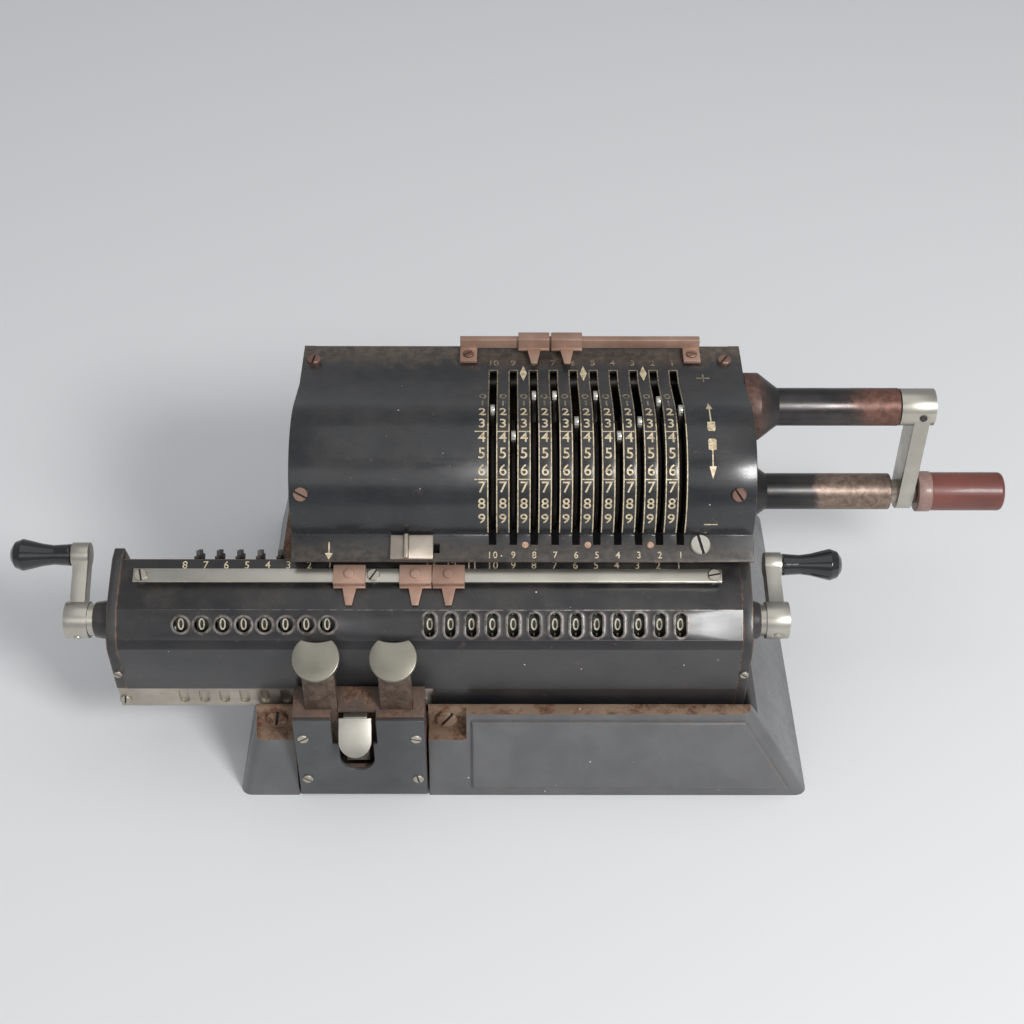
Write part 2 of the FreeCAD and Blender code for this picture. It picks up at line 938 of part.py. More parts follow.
def on_lip(along_y):
    share = (along_y - size("lip_front_y")) / (drum_end[1] - size("lip_front_y"))
    return size("lip_front_z") + (drum_end[2] - size("lip_front_z")) * share


knob_y = (drum_end[1] + size("lip_front_y")) / 2
knob_z = on_lip(knob_y)


def make_front_cover():
    sheet_solid = bent_sheet("front_sheet", front_path, wall, cover_left, cover_right)
    tools = []
    for index in range(len(DIGITS)):
        x = column_x(index)
        low = (x - slot_half, size("slot_front_y"), size("lip_front_z") - wall)
        high = (x + slot_half, size("slot_rear_y"), drum_z + drum_radius + 1)
        tools.append(box("lever_slot_" + str(index), low, high))
    knob_slot = box(
        "knob_slot",
        (
            size("knob_left_x") + size("knob_slot_inset"),
            knob_y - size("knob_slot_width") / 2,
            size("lip_front_z") - 4,
        ),
        (
            size("knob_right_x") - size("knob_slot_inset") + size("knob_travel"),
            knob_y + size("knob_slot_width") / 2,
            drum_end[2] + 1,
        ),
    )
    tools.append(knob_slot)
    return cut("front_cover", sheet_solid, tools)


def make_rear_cover():
    return bent_sheet("rear_cover", [back_low, back_bend, strip_rear_inset()], wall, cover_left, cover_right)


def strip_rear_inset():
    return corner(size("strip_rear_y") + size("seat_gap"), size("strip_rear_z") - wall)


# Side frames follow the inside of the covers
def make_frame(label, low, high, front_sheet, rear_sheet):
    foot_front = size("frame_foot_front_y")
    front = size("frame_front_y")
    waist = size("frame_waist_z")
    nose_y = drum_end[1] - size("frame_nose_depth")
    outline = [
        strip_rear,
        strip_front,
        drum_start,
        arc_about(drum_y, drum_z, True),
        drum_end,
        corner(nose_y, drum_end[2] - size("frame_nose_drop")),
        corner(nose_y, waist),
        corner(front, waist - size("frame_nose_depth")),
        corner(front, rim_z + size("frame_foot_height")),
        corner(foot_front, bar_high + size("frame_foot_height")),
        corner(foot_front, bar_high),
        corner(size("frame_foot_rear_y"), bar_high),
        corner(size("frame_foot_rear_y"), size("back_low_z")),
        corner(size("back_low_y"), size("back_low_z")),
        back_bend,
    ]
    blank = plate(label + "_blank", "YZ", outline, low, high)
    tools = [
        front_sheet,
        rear_sheet,
        rod_x(label + "_bearing", drum_y, drum_z, size("rotor_shaft_radius") + fit, low - 1, high + 1),
    ]
    for index, (y, z) in enumerate(tie_places):
        tools.append(rod_x(label + "_tie_" + str(index), y, z, size("tie_rod_radius") + fit, low - 1, high + 1))
    return blank, tools


tie_places = [
    (size("upper_tie_y"), size("upper_tie_z")),
    (size("rear_tie_y"), size("rear_tie_z")),
    (size("front_tie_y"), size("front_tie_z")),
]


def make_left_frame(front_sheet, rear_sheet):
    blank, tools = make_frame("left_frame", cover_left, cover_left + frame_wall, front_sheet, rear_sheet)
    return cut("left_side_frame", blank, tools)


idler_reach = size("train_module") * (size("crank_teeth") + size("idler_teeth")) / 2
crank_y = size("crank_y")
crank_z = size("crank_z")
train_angle = slope(crank_z - drum_z, crank_y - drum_y)
idler_y = (crank_y + drum_y) / 2
idler_z = (crank_z + drum_z) / 2


def make_right_frame(front_sheet, rear_sheet):
    low = cover_right - frame_wall
    blank, tools = make_frame("right_frame", low, cover_right, front_sheet, rear_sheet)
    bore = size("crank_shaft_radius") + fit
    shaft_hole = rod_x("shaft_hole", crank_y, crank_z, bore, low - 1, cover_right + 1)
    stud_hole = rod_x("stud_hole", idler_y, idler_z, size("idler_stud_radius"), low - 1, cover_right + 1)
    return cut("right_side_frame", blank, tools + [shaft_hole, stud_hole])


def make_tie_rods():
    rods = []
    inner_left = cover_left + frame_wall
    inner_right = cover_right - frame_wall
    nut = size("tie_nut_length")
    for index, (y, z) in enumerate(tie_places):
        rod = rod_x("tie_" + str(index), y, z, size("tie_rod_radius"), cover_left, cover_right)
        left = rod_x("tie_left_" + str(index), y, z, size("tie_nut_radius"), inner_left, inner_left + nut)
        right = rod_x("tie_right_" + str(index), y, z, size("tie_nut_radius"), inner_right - nut, inner_right)
        rods.append(fuse("tie_rod_" + str(index), [rod, left, right]))
    return group("tie_rods", rods)


# Rail with two sliders along the rear of the strip
rail_y = size("rail_y")
rail_low = size("strip_rear_z") + size("rail_lift")
rail_high = rail_low + size("rail_height")
rail_front = rail_y - size("rail_depth") / 2
rail_rear = rail_y + size("rail_depth") / 2
foot_low = size("strip_rear_z") + size("seat_gap")
foot_high = foot_low + size("rail_foot_thickness")
loose = size("sliding_fit")


def make_rail():
    rail_left = size("rail_left_x")
    rail_right = size("rail_right_x")
    pieces = [box("rail_bar", (rail_left, rail_front, rail_low), (rail_right, rail_rear, rail_high))]
    foot_front = rail_front - size("rail_foot_length")
    for side, low, high in (
        ("left", rail_left, rail_left + size("rail_foot_width")),
        ("right", rail_right - size("rail_foot_width"), rail_right),
    ):
        pieces.append(box(side + "_foot", (low, foot_front, foot_low), (high, rail_front + 0.5, foot_high)))
        pieces.append(box(side + "_post", (low, rail_front, foot_low), (high, rail_rear, rail_low + 0.5)))
    return fuse("top_marker_rail", pieces)


def pointer_outline(half, front, reach):
    # A full-width shoulder, then a narrow tongue toward -Y
    shoulder = front - size("pointer_shoulder")
    root_half = size("pointer_root_width") / 2
    tip_half = size("pointer_tip_width") / 2
    return [
        (-half, front),
        (-half, shoulder),
        (-root_half, shoulder),
        (-tip_half, front - reach),
        (tip_half, front - reach),
        (root_half, shoulder),
        (half, shoulder),
        (half, front),
    ]


def make_slider(label, x):
    half = size("slider_width") / 2
    thick = size("marker_wall")
    low_y = rail_front - loose
    high_y = rail_rear + loose
    top = rail_high + loose
    low = rail_low - size("slider_skirt")
    shell = box(label + "_outer", (x - half, low_y - thick, low), (x + half, high_y + thick, top + thick))
    hollow = box(label + "_inner", (x - half - 1, low_y, low - 1), (x + half + 1, high_y, top))
    outline = [corner(x + across, y) for across, y in pointer_outline(half, low_y, size("slider_pointer"))]
    pointer = plate(label + "_pointer", "XY", outline, low, low + size("pointer_thickness"))
    return cut(label, fuse(label + "_body", [shell, pointer]), [hollow])


# Crank tubes beside the right frame
def make_tube(label, z, end_x, bore, bore_low):
    rim_x = size("bell_rim_x")
    bell_x = size("bell_end_x")
    bell = size("bell_radius")
    tube = size("tube_radius")
    pieces = [
        rod_x(label + "_rim", crank_y, z, bell, cover_right, rim_x),
        cone_x(label + "_flare", crank_y, z, bell, tube, rim_x, bell_x),
        rod_x(label + "_barrel", crank_y, z, tube, bell_x - 0.5, end_x),
    ]
    hole = rod_x(label + "_bore", crank_y, z, bore, bore_low, end_x + 1)
    return cut(label, fuse(label + "_body", pieces), [hole])


crank_low_z = crank_z - size("crank_radius")
hub_left = size("crank_hub_left_x")
hub_right = size("crank_hub_right_x")
shaft_end = hub_right - size("hub_cap_length")
arm_middle_x = (size("arm_left_x") + size("arm_right_x")) / 2
train_left = size("train_left_x")
train_right = train_left + size("train_width")


def make_crank_shaft():
    module = size("train_module")
    teeth = int(SIZES["crank_teeth"])
    width = size("train_width")
    pinion = gear("crank_pinion", teeth, module, None, train_left, width, crank_y, crank_z, crank_mesh)
    shaft = rod_x("crank_spindle", crank_y, crank_z, size("crank_shaft_radius"), train_left, shaft_end)
    return fuse("crank_shaft", [pinion, shaft])


# Phase of each wheel: a tooth of the idler lies in a gap of both wheels
crank_mesh = train_angle + 180 + 180 / size("crank_teeth")
rotor_mesh = train_angle + 180 / size("rotor_teeth")
idler_mesh = train_angle


def make_crank_arm():
    left = size("arm_left_x")
    right = size("arm_right_x")
    half = size("arm_width") / 2
    hub = rod_x("crank_hub", crank_y, crank_z, size("crank_hub_radius"), hub_left, hub_right)
    bar = box("crank_bar", (left, crank_y - half, crank_low_z), (right, crank_y + half, crank_z))
    end = rod_x("crank_end", crank_y, crank_low_z, half, left, right)
    body = fuse("crank_arm_body", [hub, bar, end])
    shaft_hole = rod_x("hub_bore", crank_y, crank_z, size("crank_shaft_radius"), hub_left - 1, shaft_end)
    stem_hole = rod_x("stem_bore", crank_y, crank_low_z, size("latch_cone_radius") + fit, left - 1, right + 1)
    pin_front = crank_y - size("crank_hub_radius") - 1
    pin_rear = crank_y - size("crank_shaft_radius")
    pin_hole = rod_y("pin_bore", arm_middle_x, crank_z, size("crank_pin_radius"), pin_front, pin_rear)
    return cut("crank_arm", body, [shaft_hole, stem_hole, pin_hole])


def make_crank_pin():
    front = crank_y - size("crank_hub_radius") - gap
    rear = crank_y - size("crank_shaft_radius")
    return rod_y("crank_arm_pin", arm_middle_x, crank_z, size("crank_pin_radius"), front, rear)


def make_latch():
    tip_x = size("latch_tip_x")
    collar_left = size("arm_left_x") - gap - size("latch_collar_length")
    collar_right = size("crank_grip_left_x") - gap
    radius = size("latch_cone_radius")
    cone = cone_x("latch_cone", crank_y, crank_low_z, size("latch_tip_radius"), radius, tip_x, collar_left)
    collar = rod_x("latch_collar", crank_y, crank_low_z, radius, collar_left, collar_right)
    rod = rod_x("latch_rod", crank_y, crank_low_z, size("latch_stem_radius"), collar_left, size("latch_end_x"))
    return fuse("crank_latch", [cone, collar, rod])


def make_crank_grip():
    left = size("crank_grip_left_x")
    right = size("crank_grip_right_x")
    radius = size("crank_grip_radius")
    ring_end = left + size("grip_ring_length")
    ring = rod_x("grip_ring", crank_y, crank_low_z, radius, left, ring_end)
    barrel = rod_x("grip_barrel", crank_y, crank_low_z, radius - size("grip_ring_step"), ring_end, right)
    body = fuse("grip_body", [ring, barrel])
    document.recompute()
    edges = []
    for index, edge in enumerate(body.Shape.Edges, start=1):
        if abs(edge.BoundBox.XMin - right.number) < 0.01 and edge.BoundBox.XLength < 0.01:
            edges.append(index)
    domed = rounded("grip_domed", body, size("grip_dome_radius"), edges)
    bore = size("latch_stem_radius") + fit
    hole = rod_x("grip_bore", crank_y, crank_low_z, bore, left - 1, size("latch_end_x") + gap)
    return cut("crank_grip", domed, [hole])


# Idler between crank and rotor on its stud
def make_idler():
    bore = size("idler_stud_radius") + fit
    return gear(
        "idler_gear",
        int(SIZES["idler_teeth"]),
        size("train_module"),
        bore,
        train_left,
        size("train_width"),
        idler_y,
        idler_z,
        idler_mesh,
    )


def make_idler_stud():
    head_right = train_left - gap
    head_left = head_right - size("stud_head_length")
    radius = size("stud_head_radius")
    stud = rod_x("stud_rod", idler_y, idler_z, size("idler_stud_radius"), head_left, cover_right)
    head = rod_x("stud_head", idler_y, idler_z, radius, head_left, head_right)
    shoulder = rod_x("stud_shoulder", idler_y, idler_z, radius, train_right + gap, cover_right - frame_wall)
    return fuse("idler_stud", [stud, head, shoulder])


# Rotor: shaft, discs, pins and the counter finger
rotor_left = cover_left + size("shaft_inset")
rotor_right = cover_right - size("shaft_inset")
disc_low = size("disc_offset")
disc_high = disc_low + size("disc_width")
shaft_radius = size("rotor_shaft_radius")


def make_rotor_shaft():
    shaft = rod_x("rotor_rod", drum_y, drum_z, shaft_radius, rotor_left, rotor_right)
    collar_left = cover_left + frame_wall + gap
    collar_right = cover_right - frame_wall - gap
    radius = size("collar_radius")
    left = rod_x("rotor_left_collar", drum_y, drum_z, radius, collar_left, collar_left + size("collar_length"))
    right = rod_x("rotor_right_collar", drum_y, drum_z, radius, train_right - 0.5, collar_right)
    teeth = int(SIZES["rotor_teeth"])
    width = size("train_width")
    wheel = gear("rotor_gear", teeth, size("train_module"), None, train_left, width, drum_y, drum_z, rotor_mesh)
    return fuse("rotor_shaft", [shaft, left, right, wheel])


def make_discs():
    discs = []
    half_lever = size("lever_thickness") / 2
    for index in range(len(DIGITS)):
        x = column_x(index)
        name = "disc_" + str(index)
        disc = rod_x(name + "_rim", drum_y, drum_z, size("disc_radius"), x + disc_low, x + disc_high)
        hub_low = x - half_lever - size("disc_hub_stand")
        hub = rod_x(name + "_hub", drum_y, drum_z, size("disc_hub_radius"), hub_low, x + disc_high)
        bore = rod_x(name + "_bore", drum_y, drum_z, shaft_radius, hub_low - 1, x + disc_high + 1)
        slots = []
        reach = size("disc_radius") + 1
        for pin in range(int(SIZES["pin_count"])):
            slots.append(pin_block(name + "_seat_" + str(pin), x, pin, reach, size("pin_width")))
        discs.append(cut(name, fuse(name + "_body", [disc, hub]), [bore] + slots))
    return group("pinwheel_discs", discs)


def pin_block(label, x, pin, reach, width):
    angle = size("first_pin_angle") - size("pin_pitch_angle") * pin + 90
    centre_x = x + disc_low + size("disc_width") / 2
    root = size("pin_root_radius")
    half = size("pin_thickness") / 2
    block = document.addObject("Part::Box", label)
    bind(block, "Length", width)
    bind(block, "Width", reach - root)
    bind(block, "Height", half * 2)
    turn(block, ALONG_X, angle)
    start_y = drum_y + root * cosine(angle) + half * sine(angle)
    start_z = drum_z + root * sine(angle) - half * cosine(angle)
    move(block, centre_x - width / 2, start_y, start_z)
    return block


def make_pins():
    pins = []
    for index, digit in enumerate(DIGITS):
        for pin in range(int(SIZES["pin_count"])):
            reach = size("pin_out_radius") if pin < digit else size("pin_rest_radius")
            name = "pin_" + str(index) + "_" + str(pin)
            pins.append(pin_block(name, column_x(index), pin, reach, size("pin_width")))
    return group("pinwheel_pins", pins)


def make_counter_finger():
    x = size("first_counter_x")
    low = x + size("gear_offset")
    high = low + size("gear_width")
    disc = rod_x("finger_disc", drum_y, drum_z, size("finger_disc_radius"), low, high)
    reach = size("counter_finger_radius")
    half = size("pin_thickness") / 2
    finger = box("finger_arm", (low, drum_y, drum_z - half), (high, drum_y + reach, drum_z + half))
    bore = rod_x("finger_bore", drum_y, drum_z, shaft_radius, low - 1, high + 1)
    return cut("counter_finger", fuse("finger_body", [disc, finger]), [bore])


def make_lever(index, digit):
    x = column_x(index)
    name = "setting_lever_" + str(index + 1)
    half = size("lever_thickness") / 2
    half_width = size("lever_arm_width") / 2
    tip = size("lever_tip_radius") - half_width
    ring = rod_x(name + "_ring", 0, 0, size("lever_ring_radius"), -half, half)
    arm = box(name + "_arm", (-half, 10, -half_width), (half, tip, half_width))
    end = rod_x(name + "_end", tip, 0, half_width, -half, half)
    bore = rod_x(name + "_bore", 0, 0, size("disc_hub_radius") + fit, -half - 1, half + 1)
    lever = cut(name, fuse(name + "_body", [ring, arm, end]), [bore])
    turn(lever, ALONG_X, size("first_digit_angle") + size("digit_angle") * digit)
    move(lever, x, drum_y, drum_z)
    return lever


# Carriage
left_x = size("carriage_left_x")
right_x = size("carriage_right_x")
plate_wall = size("plate_thickness")
carriage_wall = size("carriage_wall")
tilt = size("window_tilt")
band = size("window_band")
ridge_y = size("ridge_y")
ridge_z = size("ridge_z")
band_low_y = ridge_y - band * cosine(tilt)
band_low_z = ridge_z - band * sine(tilt)
band_middle_y = ridge_y - band * cosine(tilt) / 2
band_middle_z = ridge_z - band * sine(tilt) / 2
brow = corner(size("brow_y"), size("brow_z"))
facet_low = corner(size("facet_low_y"), size("facet_low_z"))
carriage_top = corner(size("carriage_top_y"), size("carriage_top_z"))
ridge = corner(ridge_y, ridge_z)
band_low = corner(band_low_y, band_low_z)
skirt_low = corner(size("facet_low_y"), size("skirt_low_z"))
carriage_path = [carriage_top, ridge, band_low, brow, facet_low, skirt_low]
housing_left = left_x + plate_wall
housing_right = right_x - plate_wall
rack_front = size("facet_low_y") + carriage_wall


def tilted(piece, x):
    turn(piece, ALONG_X, tilt)
    move(piece, x, band_middle_y, band_middle_z)
    return piece


def window_form(label, x, radius, height, low, high):
    straight = height / 2 - radius
    pieces = []
    for side, sign in (("upper", 1), ("lower", -1)):
        end = document.addObject("Part::Cylinder", label + "_" + side)
        bind(end, "Radius", radius)
        bind(end, "Height", as_size(high) - low)
        move(end, 0, straight * sign, low)
        pieces.append(end)
    pieces.append(box(label + "_middle", (-radius, -straight, low), (radius, straight, high)))
    return tilted(fuse(label, pieces), x)


def round_form(label, x, radius, low, high):
    form = rod_z(label, 0, 0, radius, low, high)
    return tilted(group(label + "_turned", [form]), x)


def make_housing():
    sheet_solid = bent_sheet("carriage_sheet", carriage_path, carriage_wall, housing_left, housing_right)
    rims = []
    holes = []
    rim_width = size("window_rim_width")
    rim_low = -carriage_wall / 2
    rim_high = size("window_rim_height")
    hole_low = -carriage_wall - 1
    hole_high = rim_high + 1
    radius = size("window_radius")
    height = size("window_height")
    rim_length = height + rim_width * 2
    for index in range(RESULT_COLUMNS):
        x = column_x(index)
        name = "window_" + str(index)
        rims.append(window_form(name + "_rim", x, radius + rim_width, rim_length, rim_low, rim_high))
        holes.append(window_form(name + "_hole", x, radius, height, hole_low, hole_high))
    round_radius = size("round_window_radius")
    for index in range(COUNTER_COLUMNS):
        x = counter_x(index)
        name = "port_" + str(index)
        rims.append(round_form(name + "_rim", x, round_radius + rim_width, rim_low, rim_high))
        holes.append(round_form(name + "_hole", x, round_radius, hole_low, hole_high))
    rack_space = box(
        "rack_space",
        (housing_left - 1, size("facet_low_y") - 1, size("skirt_low_z") - 1),
        (size("rack_right_x"), size("facet_low_y") + carriage_wall + 1, size("facet_low_z")),
    )
    return cut("carriage_housing", fuse("housing_body", [sheet_solid] + rims), holes + [rack_space])


step_reach = size("wheel_module") * (size("wheel_teeth") + size("step_teeth")) / 2
step_y = axis_y + step_reach * cosine(size("step_angle"))
step_z = axis_z + step_reach * sine(size("step_angle"))
clear_shaft = size("clear_shaft_radius")
guide_y = size("guide_rod_y")
guide_z = size("guide_rod_z")
guide_radius = size("guide_rod_radius")
middle_left = size("middle_plate_x")
middle_right = middle_left + size("middle_plate_thickness")


def carriage_plate_holes(name, low, high):
    return [
        rod_x(name + "_wheel_bore", axis_y, axis_z, clear_shaft + fit, low, high),
        rod_x(name + "_step_bore", step_y, step_z, size("step_axle_radius"), low, high),
        rod_x(name + "_guide_bore", guide_y, guide_z, guide_radius, low, high),
    ]


def make_carriage_plates():
    rear = size("plate_rear_y")
    low_z = size("plate_low_z")
    low_rear = size("plate_low_rear_y")
    upper = [corner(size("carriage_top_y") + 5.4, size("carriage_top_z")), carriage_top, ridge, band_low, brow]
    lower = [corner(low_rear, low_z), corner(rear, step_z - 12), corner(rear, step_z + 5)]
    rack_rear = rack_front + size("rack_thickness")
    seat = [facet_low, corner(rack_rear, size("facet_low_z")), corner(rack_rear, low_z)]
    left = plate("left_plate_blank", "YZ", upper + seat + lower, left_x, housing_left)
    left_boss = cone_x(
        "left_boss",
        axis_y,
        axis_z,
        size("boss_end_radius"),
        size("boss_end_radius") + size("boss_flare"),
        left_x - size("left_boss_length"),
        left_x,
    )
    right_edge = [facet_low, corner(size("facet_low_y") + 1, low_z)]
    right = plate("right_plate_blank", "YZ", upper + right_edge + lower, housing_right, right_x)
    right_boss = cone_x(
        "right_boss",
        axis_y,
        axis_z,
        size("boss_end_radius") + size("boss_flare"),
        size("boss_end_radius"),
        right_x,
        right_x + size("boss_length"),
    )
    inner = carriage_wall + size("seat_gap")
    middle_outline = [
        corner(size("carriage_top_y") - 2, size("carriage_top_z") - inner - 1.4),
        corner(ridge_y + 0.9, ridge_z - inner - 0.5),
        corner(band_low_y + 1, band_low_z - inner),
        corner(size("brow_y") + inner + 0.2, size("brow_z")),
        corner(rack_rear + gap, size("rack_high_z") + 1),
        corner(rack_rear + gap, low_z + 5),
        corner(low_rear, low_z + 5),
        corner(rear, step_z - 12),
        corner(rear, step_z + 5),
    ]
    middle = plate("middle_plate_blank", "YZ", middle_outline, middle_left, middle_right)
    left_body = fuse("left_end_body", [left, left_boss])
    right_body = fuse("right_end_body", [right, right_boss])
    plates = [
        cut("left_end_plate", left_body, carriage_plate_holes("left_end", left_x - 10, housing_left + 1)),
        cut("middle_plate", middle, carriage_plate_holes("middle", middle_left - 1, middle_right + 1)),
        cut("right_end_plate", right_body, carriage_plate_holes("right_end", housing_right - 1, right_x + 10)),
    ]
    return group("carriage_plates", plates)


def make_carriage_rods():
    low = left_x + size("shaft_inset")
    high = right_x - size("shaft_inset")
    guide = rod_x("guide_rod", guide_y, guide_z, guide_radius, low, high)
    axle = rod_x("step_axle", step_y, step_z, size("step_axle_radius"), low, high)
    return group("carriage_rods", [guide, axle])


def make_guide_brackets():
    brackets = []
    half = size("bracket_depth") / 2
    width = size("bracket_width")
    for side, low in (("left", rotor_left), ("right", right_bar_left_x + size("shaft_inset"))):
        body = box(
            side + "_bracket_body",
            (low, guide_y - half, bar_high),
            (low + width, guide_y + half, guide_z + size("bracket_rise")),
        )
        hole = rod_x(side + "_bracket_bore", guide_y, guide_z, guide_radius + fit, low - 1, low + width + 1)
        brackets.append(cut(side + "_bracket", body, [hole]))
    return group("guide_brackets", brackets)


def make_rack():
    rear = rack_front + size("rack_thickness")
    low = size("plate_low_z")
    right = size("rack_right_x")
    strip = box("rack_strip", (left_x, rack_front, low), (right, rear, size("facet_low_z")))
    tab = box("rack_tab", (housing_left, rack_front, low), (right, rear, size("rack_high_z")))
    notches = []
    span = right - size("rack_first_notch_x")
    radius = size("rack_notch_radius")
    cut_front = rack_front - 1
    cut_rear = rack_front + size("rack_notch_depth")
    round_low = size("rack_notch_low_z") + radius
    round_high = size("rack_notch_high_z") - radius
    for index in range(int(span.number / column_pitch.number)):
        x = size("rack_first_notch_x") + column_pitch * index
        name = "notch_" + str(index)
        notches.append(box(name, (x - radius, cut_front, round_low), (x + radius, cut_rear, round_high)))
        notches.append(rod_y(name + "_low", x, round_low, radius, cut_front, cut_rear))
        notches.append(rod_y(name + "_high", x, round_high, radius, cut_front, cut_rear))
    return cut("carriage_rack", fuse("rack_body", [strip, tab]), notches)


# Bar and markers, drawn flat and turned onto the carriage's top slope
top_slope = slope(size("carriage_top_z") - ridge_z, size("carriage_top_y") - ridge_y)
bar_y = ridge_y + size("bar_along") * cosine(top_slope)
bar_z = ridge_z + size("bar_along") * sine(top_slope)
bar_half = size("bar_width") / 2
bar_lift = size("bar_lift")
bar_top = bar_lift + size("bar_height")


def onto_slope(piece, x):
    turn(piece, ALONG_X, top_slope)
    move(piece, x, bar_y, bar_z)
    return piece


def make_marker_bar():
    low = (size("bar_left_x"), -bar_half, bar_lift)
    strip = box("bar_strip", low, (size("bar_right_x"), bar_half, bar_top))
    return onto_slope(group("marker_bar", [strip]), 0)


bar_screw_places = [
    ("left", size("bar_left_x") + size("bar_screw_inset")),
    ("middle", size("bar_middle_screw_x")),
    ("right", size("bar_right_x") - size("bar_screw_inset")),
]
rack_screw_places = [
    ("rack_left", left_x + plate_wall / 2),
    ("rack_right", size("rack_right_x") - size("rack_screw_inset")),
]


def make_carriage_screws():
    screws = []
    head_radius = bar_half - size("bar_screw_margin")
    stand_radius = head_radius - size("bar_screw_margin")
    for side, x in bar_screw_places:
        head = rod_z(side + "_bar_head", 0, 0, head_radius, bar_top, bar_top + size("bar_screw_height"))
        spacer = rod_z(side + "_bar_spacer", 0, 0, stand_radius, 0, bar_lift)
        screws.append(onto_slope(group(side + "_bar_screw", [head]), x))
        screws.append(onto_slope(group(side + "_bar_stand", [spacer]), x))
    rack_screw_front = rack_front - size("rack_screw_height")
    for side, x in rack_screw_places:
        z = size("rack_screw_z")
        screws.append(rod_y(side + "_screw", x, z, size("rack_screw_radius"), rack_screw_front, rack_front))
    lean = (size("brow_y") - size("facet_low_y")) / (size("brow_z") - size("facet_low_z"))
    z = size("plate_screw_z")
    radius = size("edge_screw_radius")
    edge_y = size("facet_low_y") + lean * (z + radius - size("facet_low_z"))
    edge_front = edge_y - size("edge_screw_height")
    for side, x in (("left_plate", left_x + plate_wall / 2), ("right_plate", right_x - plate_wall / 2)):
        screws.append(rod_y(side + "_screw", x, z, radius, edge_front, edge_y))
    return group("carriage_screws", screws)


def make_marker(label, x):
    half = size("marker_width") / 2
    thick = size("marker_wall")
    side = bar_half + loose
    low = size("marker_lift")
    roof = bar_top + loose
    mouth_half = side - size("marker_fold")
    outer = box(label + "_outer", (-half, -side - thick, low), (half, side + thick, roof + thick))
    hollow = box(label + "_inner", (-half - 1, -side, bar_lift - loose), (half + 1, side, roof))
    mouth = box(label + "_mouth", (-half - 1, -mouth_half, 0), (half + 1, mouth_half, bar_lift))
    outline = [corner(across, y) for across, y in pointer_outline(half, -side, size("marker_pointer"))]
    pointer = plate(label + "_pointer", "XY", outline, low, low + size("pointer_thickness"))
    rivet_top = roof + thick + size("marker_rivet_height")
    rivet = rod_z(label + "_rivet", 0, 0, size("marker_rivet_radius"), roof, rivet_top)
    body = cut(label + "_shell", fuse(label + "_body", [outer, pointer]), [hollow, mouth])
    return onto_slope(fuse(label, [body, rivet]), x)


# Number wheels on their shafts, and the step gears between pins and wheels
def wheel_column(name, x):
    half = size("wheel_width") / 2
    bore_radius = size("wheel_bore")
    neck_radius = bore_radius + size("wheel_neck_wall")
    gear_low = x + size("gear_offset")
    gear_high = gear_low + size("gear_width")
    drum = rod_x(name + "_drum", axis_y, axis_z, size("wheel_radius"), x - half, x + half)
    neck = rod_x(name + "_neck", axis_y, axis_z, neck_radius, x, gear_high)
    wheel = gear(
        name + "_gear",
        int(SIZES["wheel_teeth"]),
        size("wheel_module"),
        None,
        gear_low,
        size("gear_width"),
        axis_y,
        axis_z,
        size("step_angle"),
    )
    bore = rod_x(name + "_bore", axis_y, axis_z, bore_radius, x - half - 1, gear_high + 1)
    return cut(name, fuse(name + "_body", [drum, neck, wheel]), [bore])


def step_column(name, x):
    bore = size("step_axle_radius") + fit
    phase = size("step_angle") + 180 + 180 / size("step_teeth")
    wheel = gear(
        name,
        int(SIZES["step_teeth"]),
        size("wheel_module"),
        bore,
        x + size("gear_offset"),
        size("gear_width"),
        step_y,
        step_z,
        phase,
    )
    return wheel


def make_wheels(label, places):
    return group(label, [wheel_column(label + "_" + str(index), x) for index, x in enumerate(places)])


def make_step_gears(label, places):
    return group(label, [step_column(label + "_" + str(index), x) for index, x in enumerate(places)])


result_places = [column_x(index) for index in range(RESULT_COLUMNS)]
counter_places = [counter_x(index) for index in range(COUNTER_COLUMNS)]


# Clearing cranks. Each is drawn for the right side about its own axis, hub end at zero
def make_clearing_crank(label, hub_x, side, angle, shaft_end):
    length = size("clear_arm_length")
    hub = size("clear_hub_length")
    half_depth = size("clear_arm_depth") / 2
    collar = size("clear_collar_length")
    shaft_reach = (hub_x - shaft_end) * side
    head_near = -size("clear_head_inset")
    head_far = head_near - size("clear_head_length")
    stud = size("clear_stud_radius")
    stud_end = size("clear_grip_length") - size("clear_stud_inset")
    arm_near = -size("clear_arm_inset") * side
    arm_far = arm_near - size("clear_arm_width") * side
    arm_low = arm_far if side > 0 else arm_near
    arm_high = arm_near if side > 0 else arm_far
    pieces = [
        span_x(label + "_hub", 0, size("clear_hub_radius"), 0, -hub, side),
        span_x(label + "_collar", 0, size("clear_collar_radius"), -hub, -hub - collar, side),
        span_x(label + "_shaft", 0, clear_shaft, -hub, -shaft_reach, side),
        span_x(label + "_head", length, size("clear_head_radius"), head_near, head_far, side),
        box(label + "_arm", (arm_low, 0, -half_depth), (arm_high, length, half_depth)),
        span_x(label + "_stud", length, stud, head_near - 0.1, stud_end, side),
    ]
    body = fuse(label + "_body", pieces)
    pin_x = -hub * side / 2
    pin_low = size("clear_hub_radius") - size("clear_pin_depth")
    pin_high = size("clear_hub_radius") + size("clear_pin_stand")
    pin_hole = rod_y(label + "_pin_bore", pin_x, 0, size("clear_pin_radius"), -pin_high - 1, -pin_low)
    pin = rod_y(label + "_pin", pin_x, 0, size("clear_pin_radius"), -pin_high, -pin_low)
    turned = group(label, [cut(label + "_drilled", body, [pin_hole]), pin])
    turn(turned, ALONG_X, angle)
    move(turned, hub_x, axis_y, axis_z)
    return turned


def span_x(label, y, radius, near, far, side):
    near = as_size(near) * side
    far = as_size(far) * side
    low = near if near.number < far.number else far
    high = far if near.number < far.number else near
    return rod_x(label, y, 0, radius, low, high)


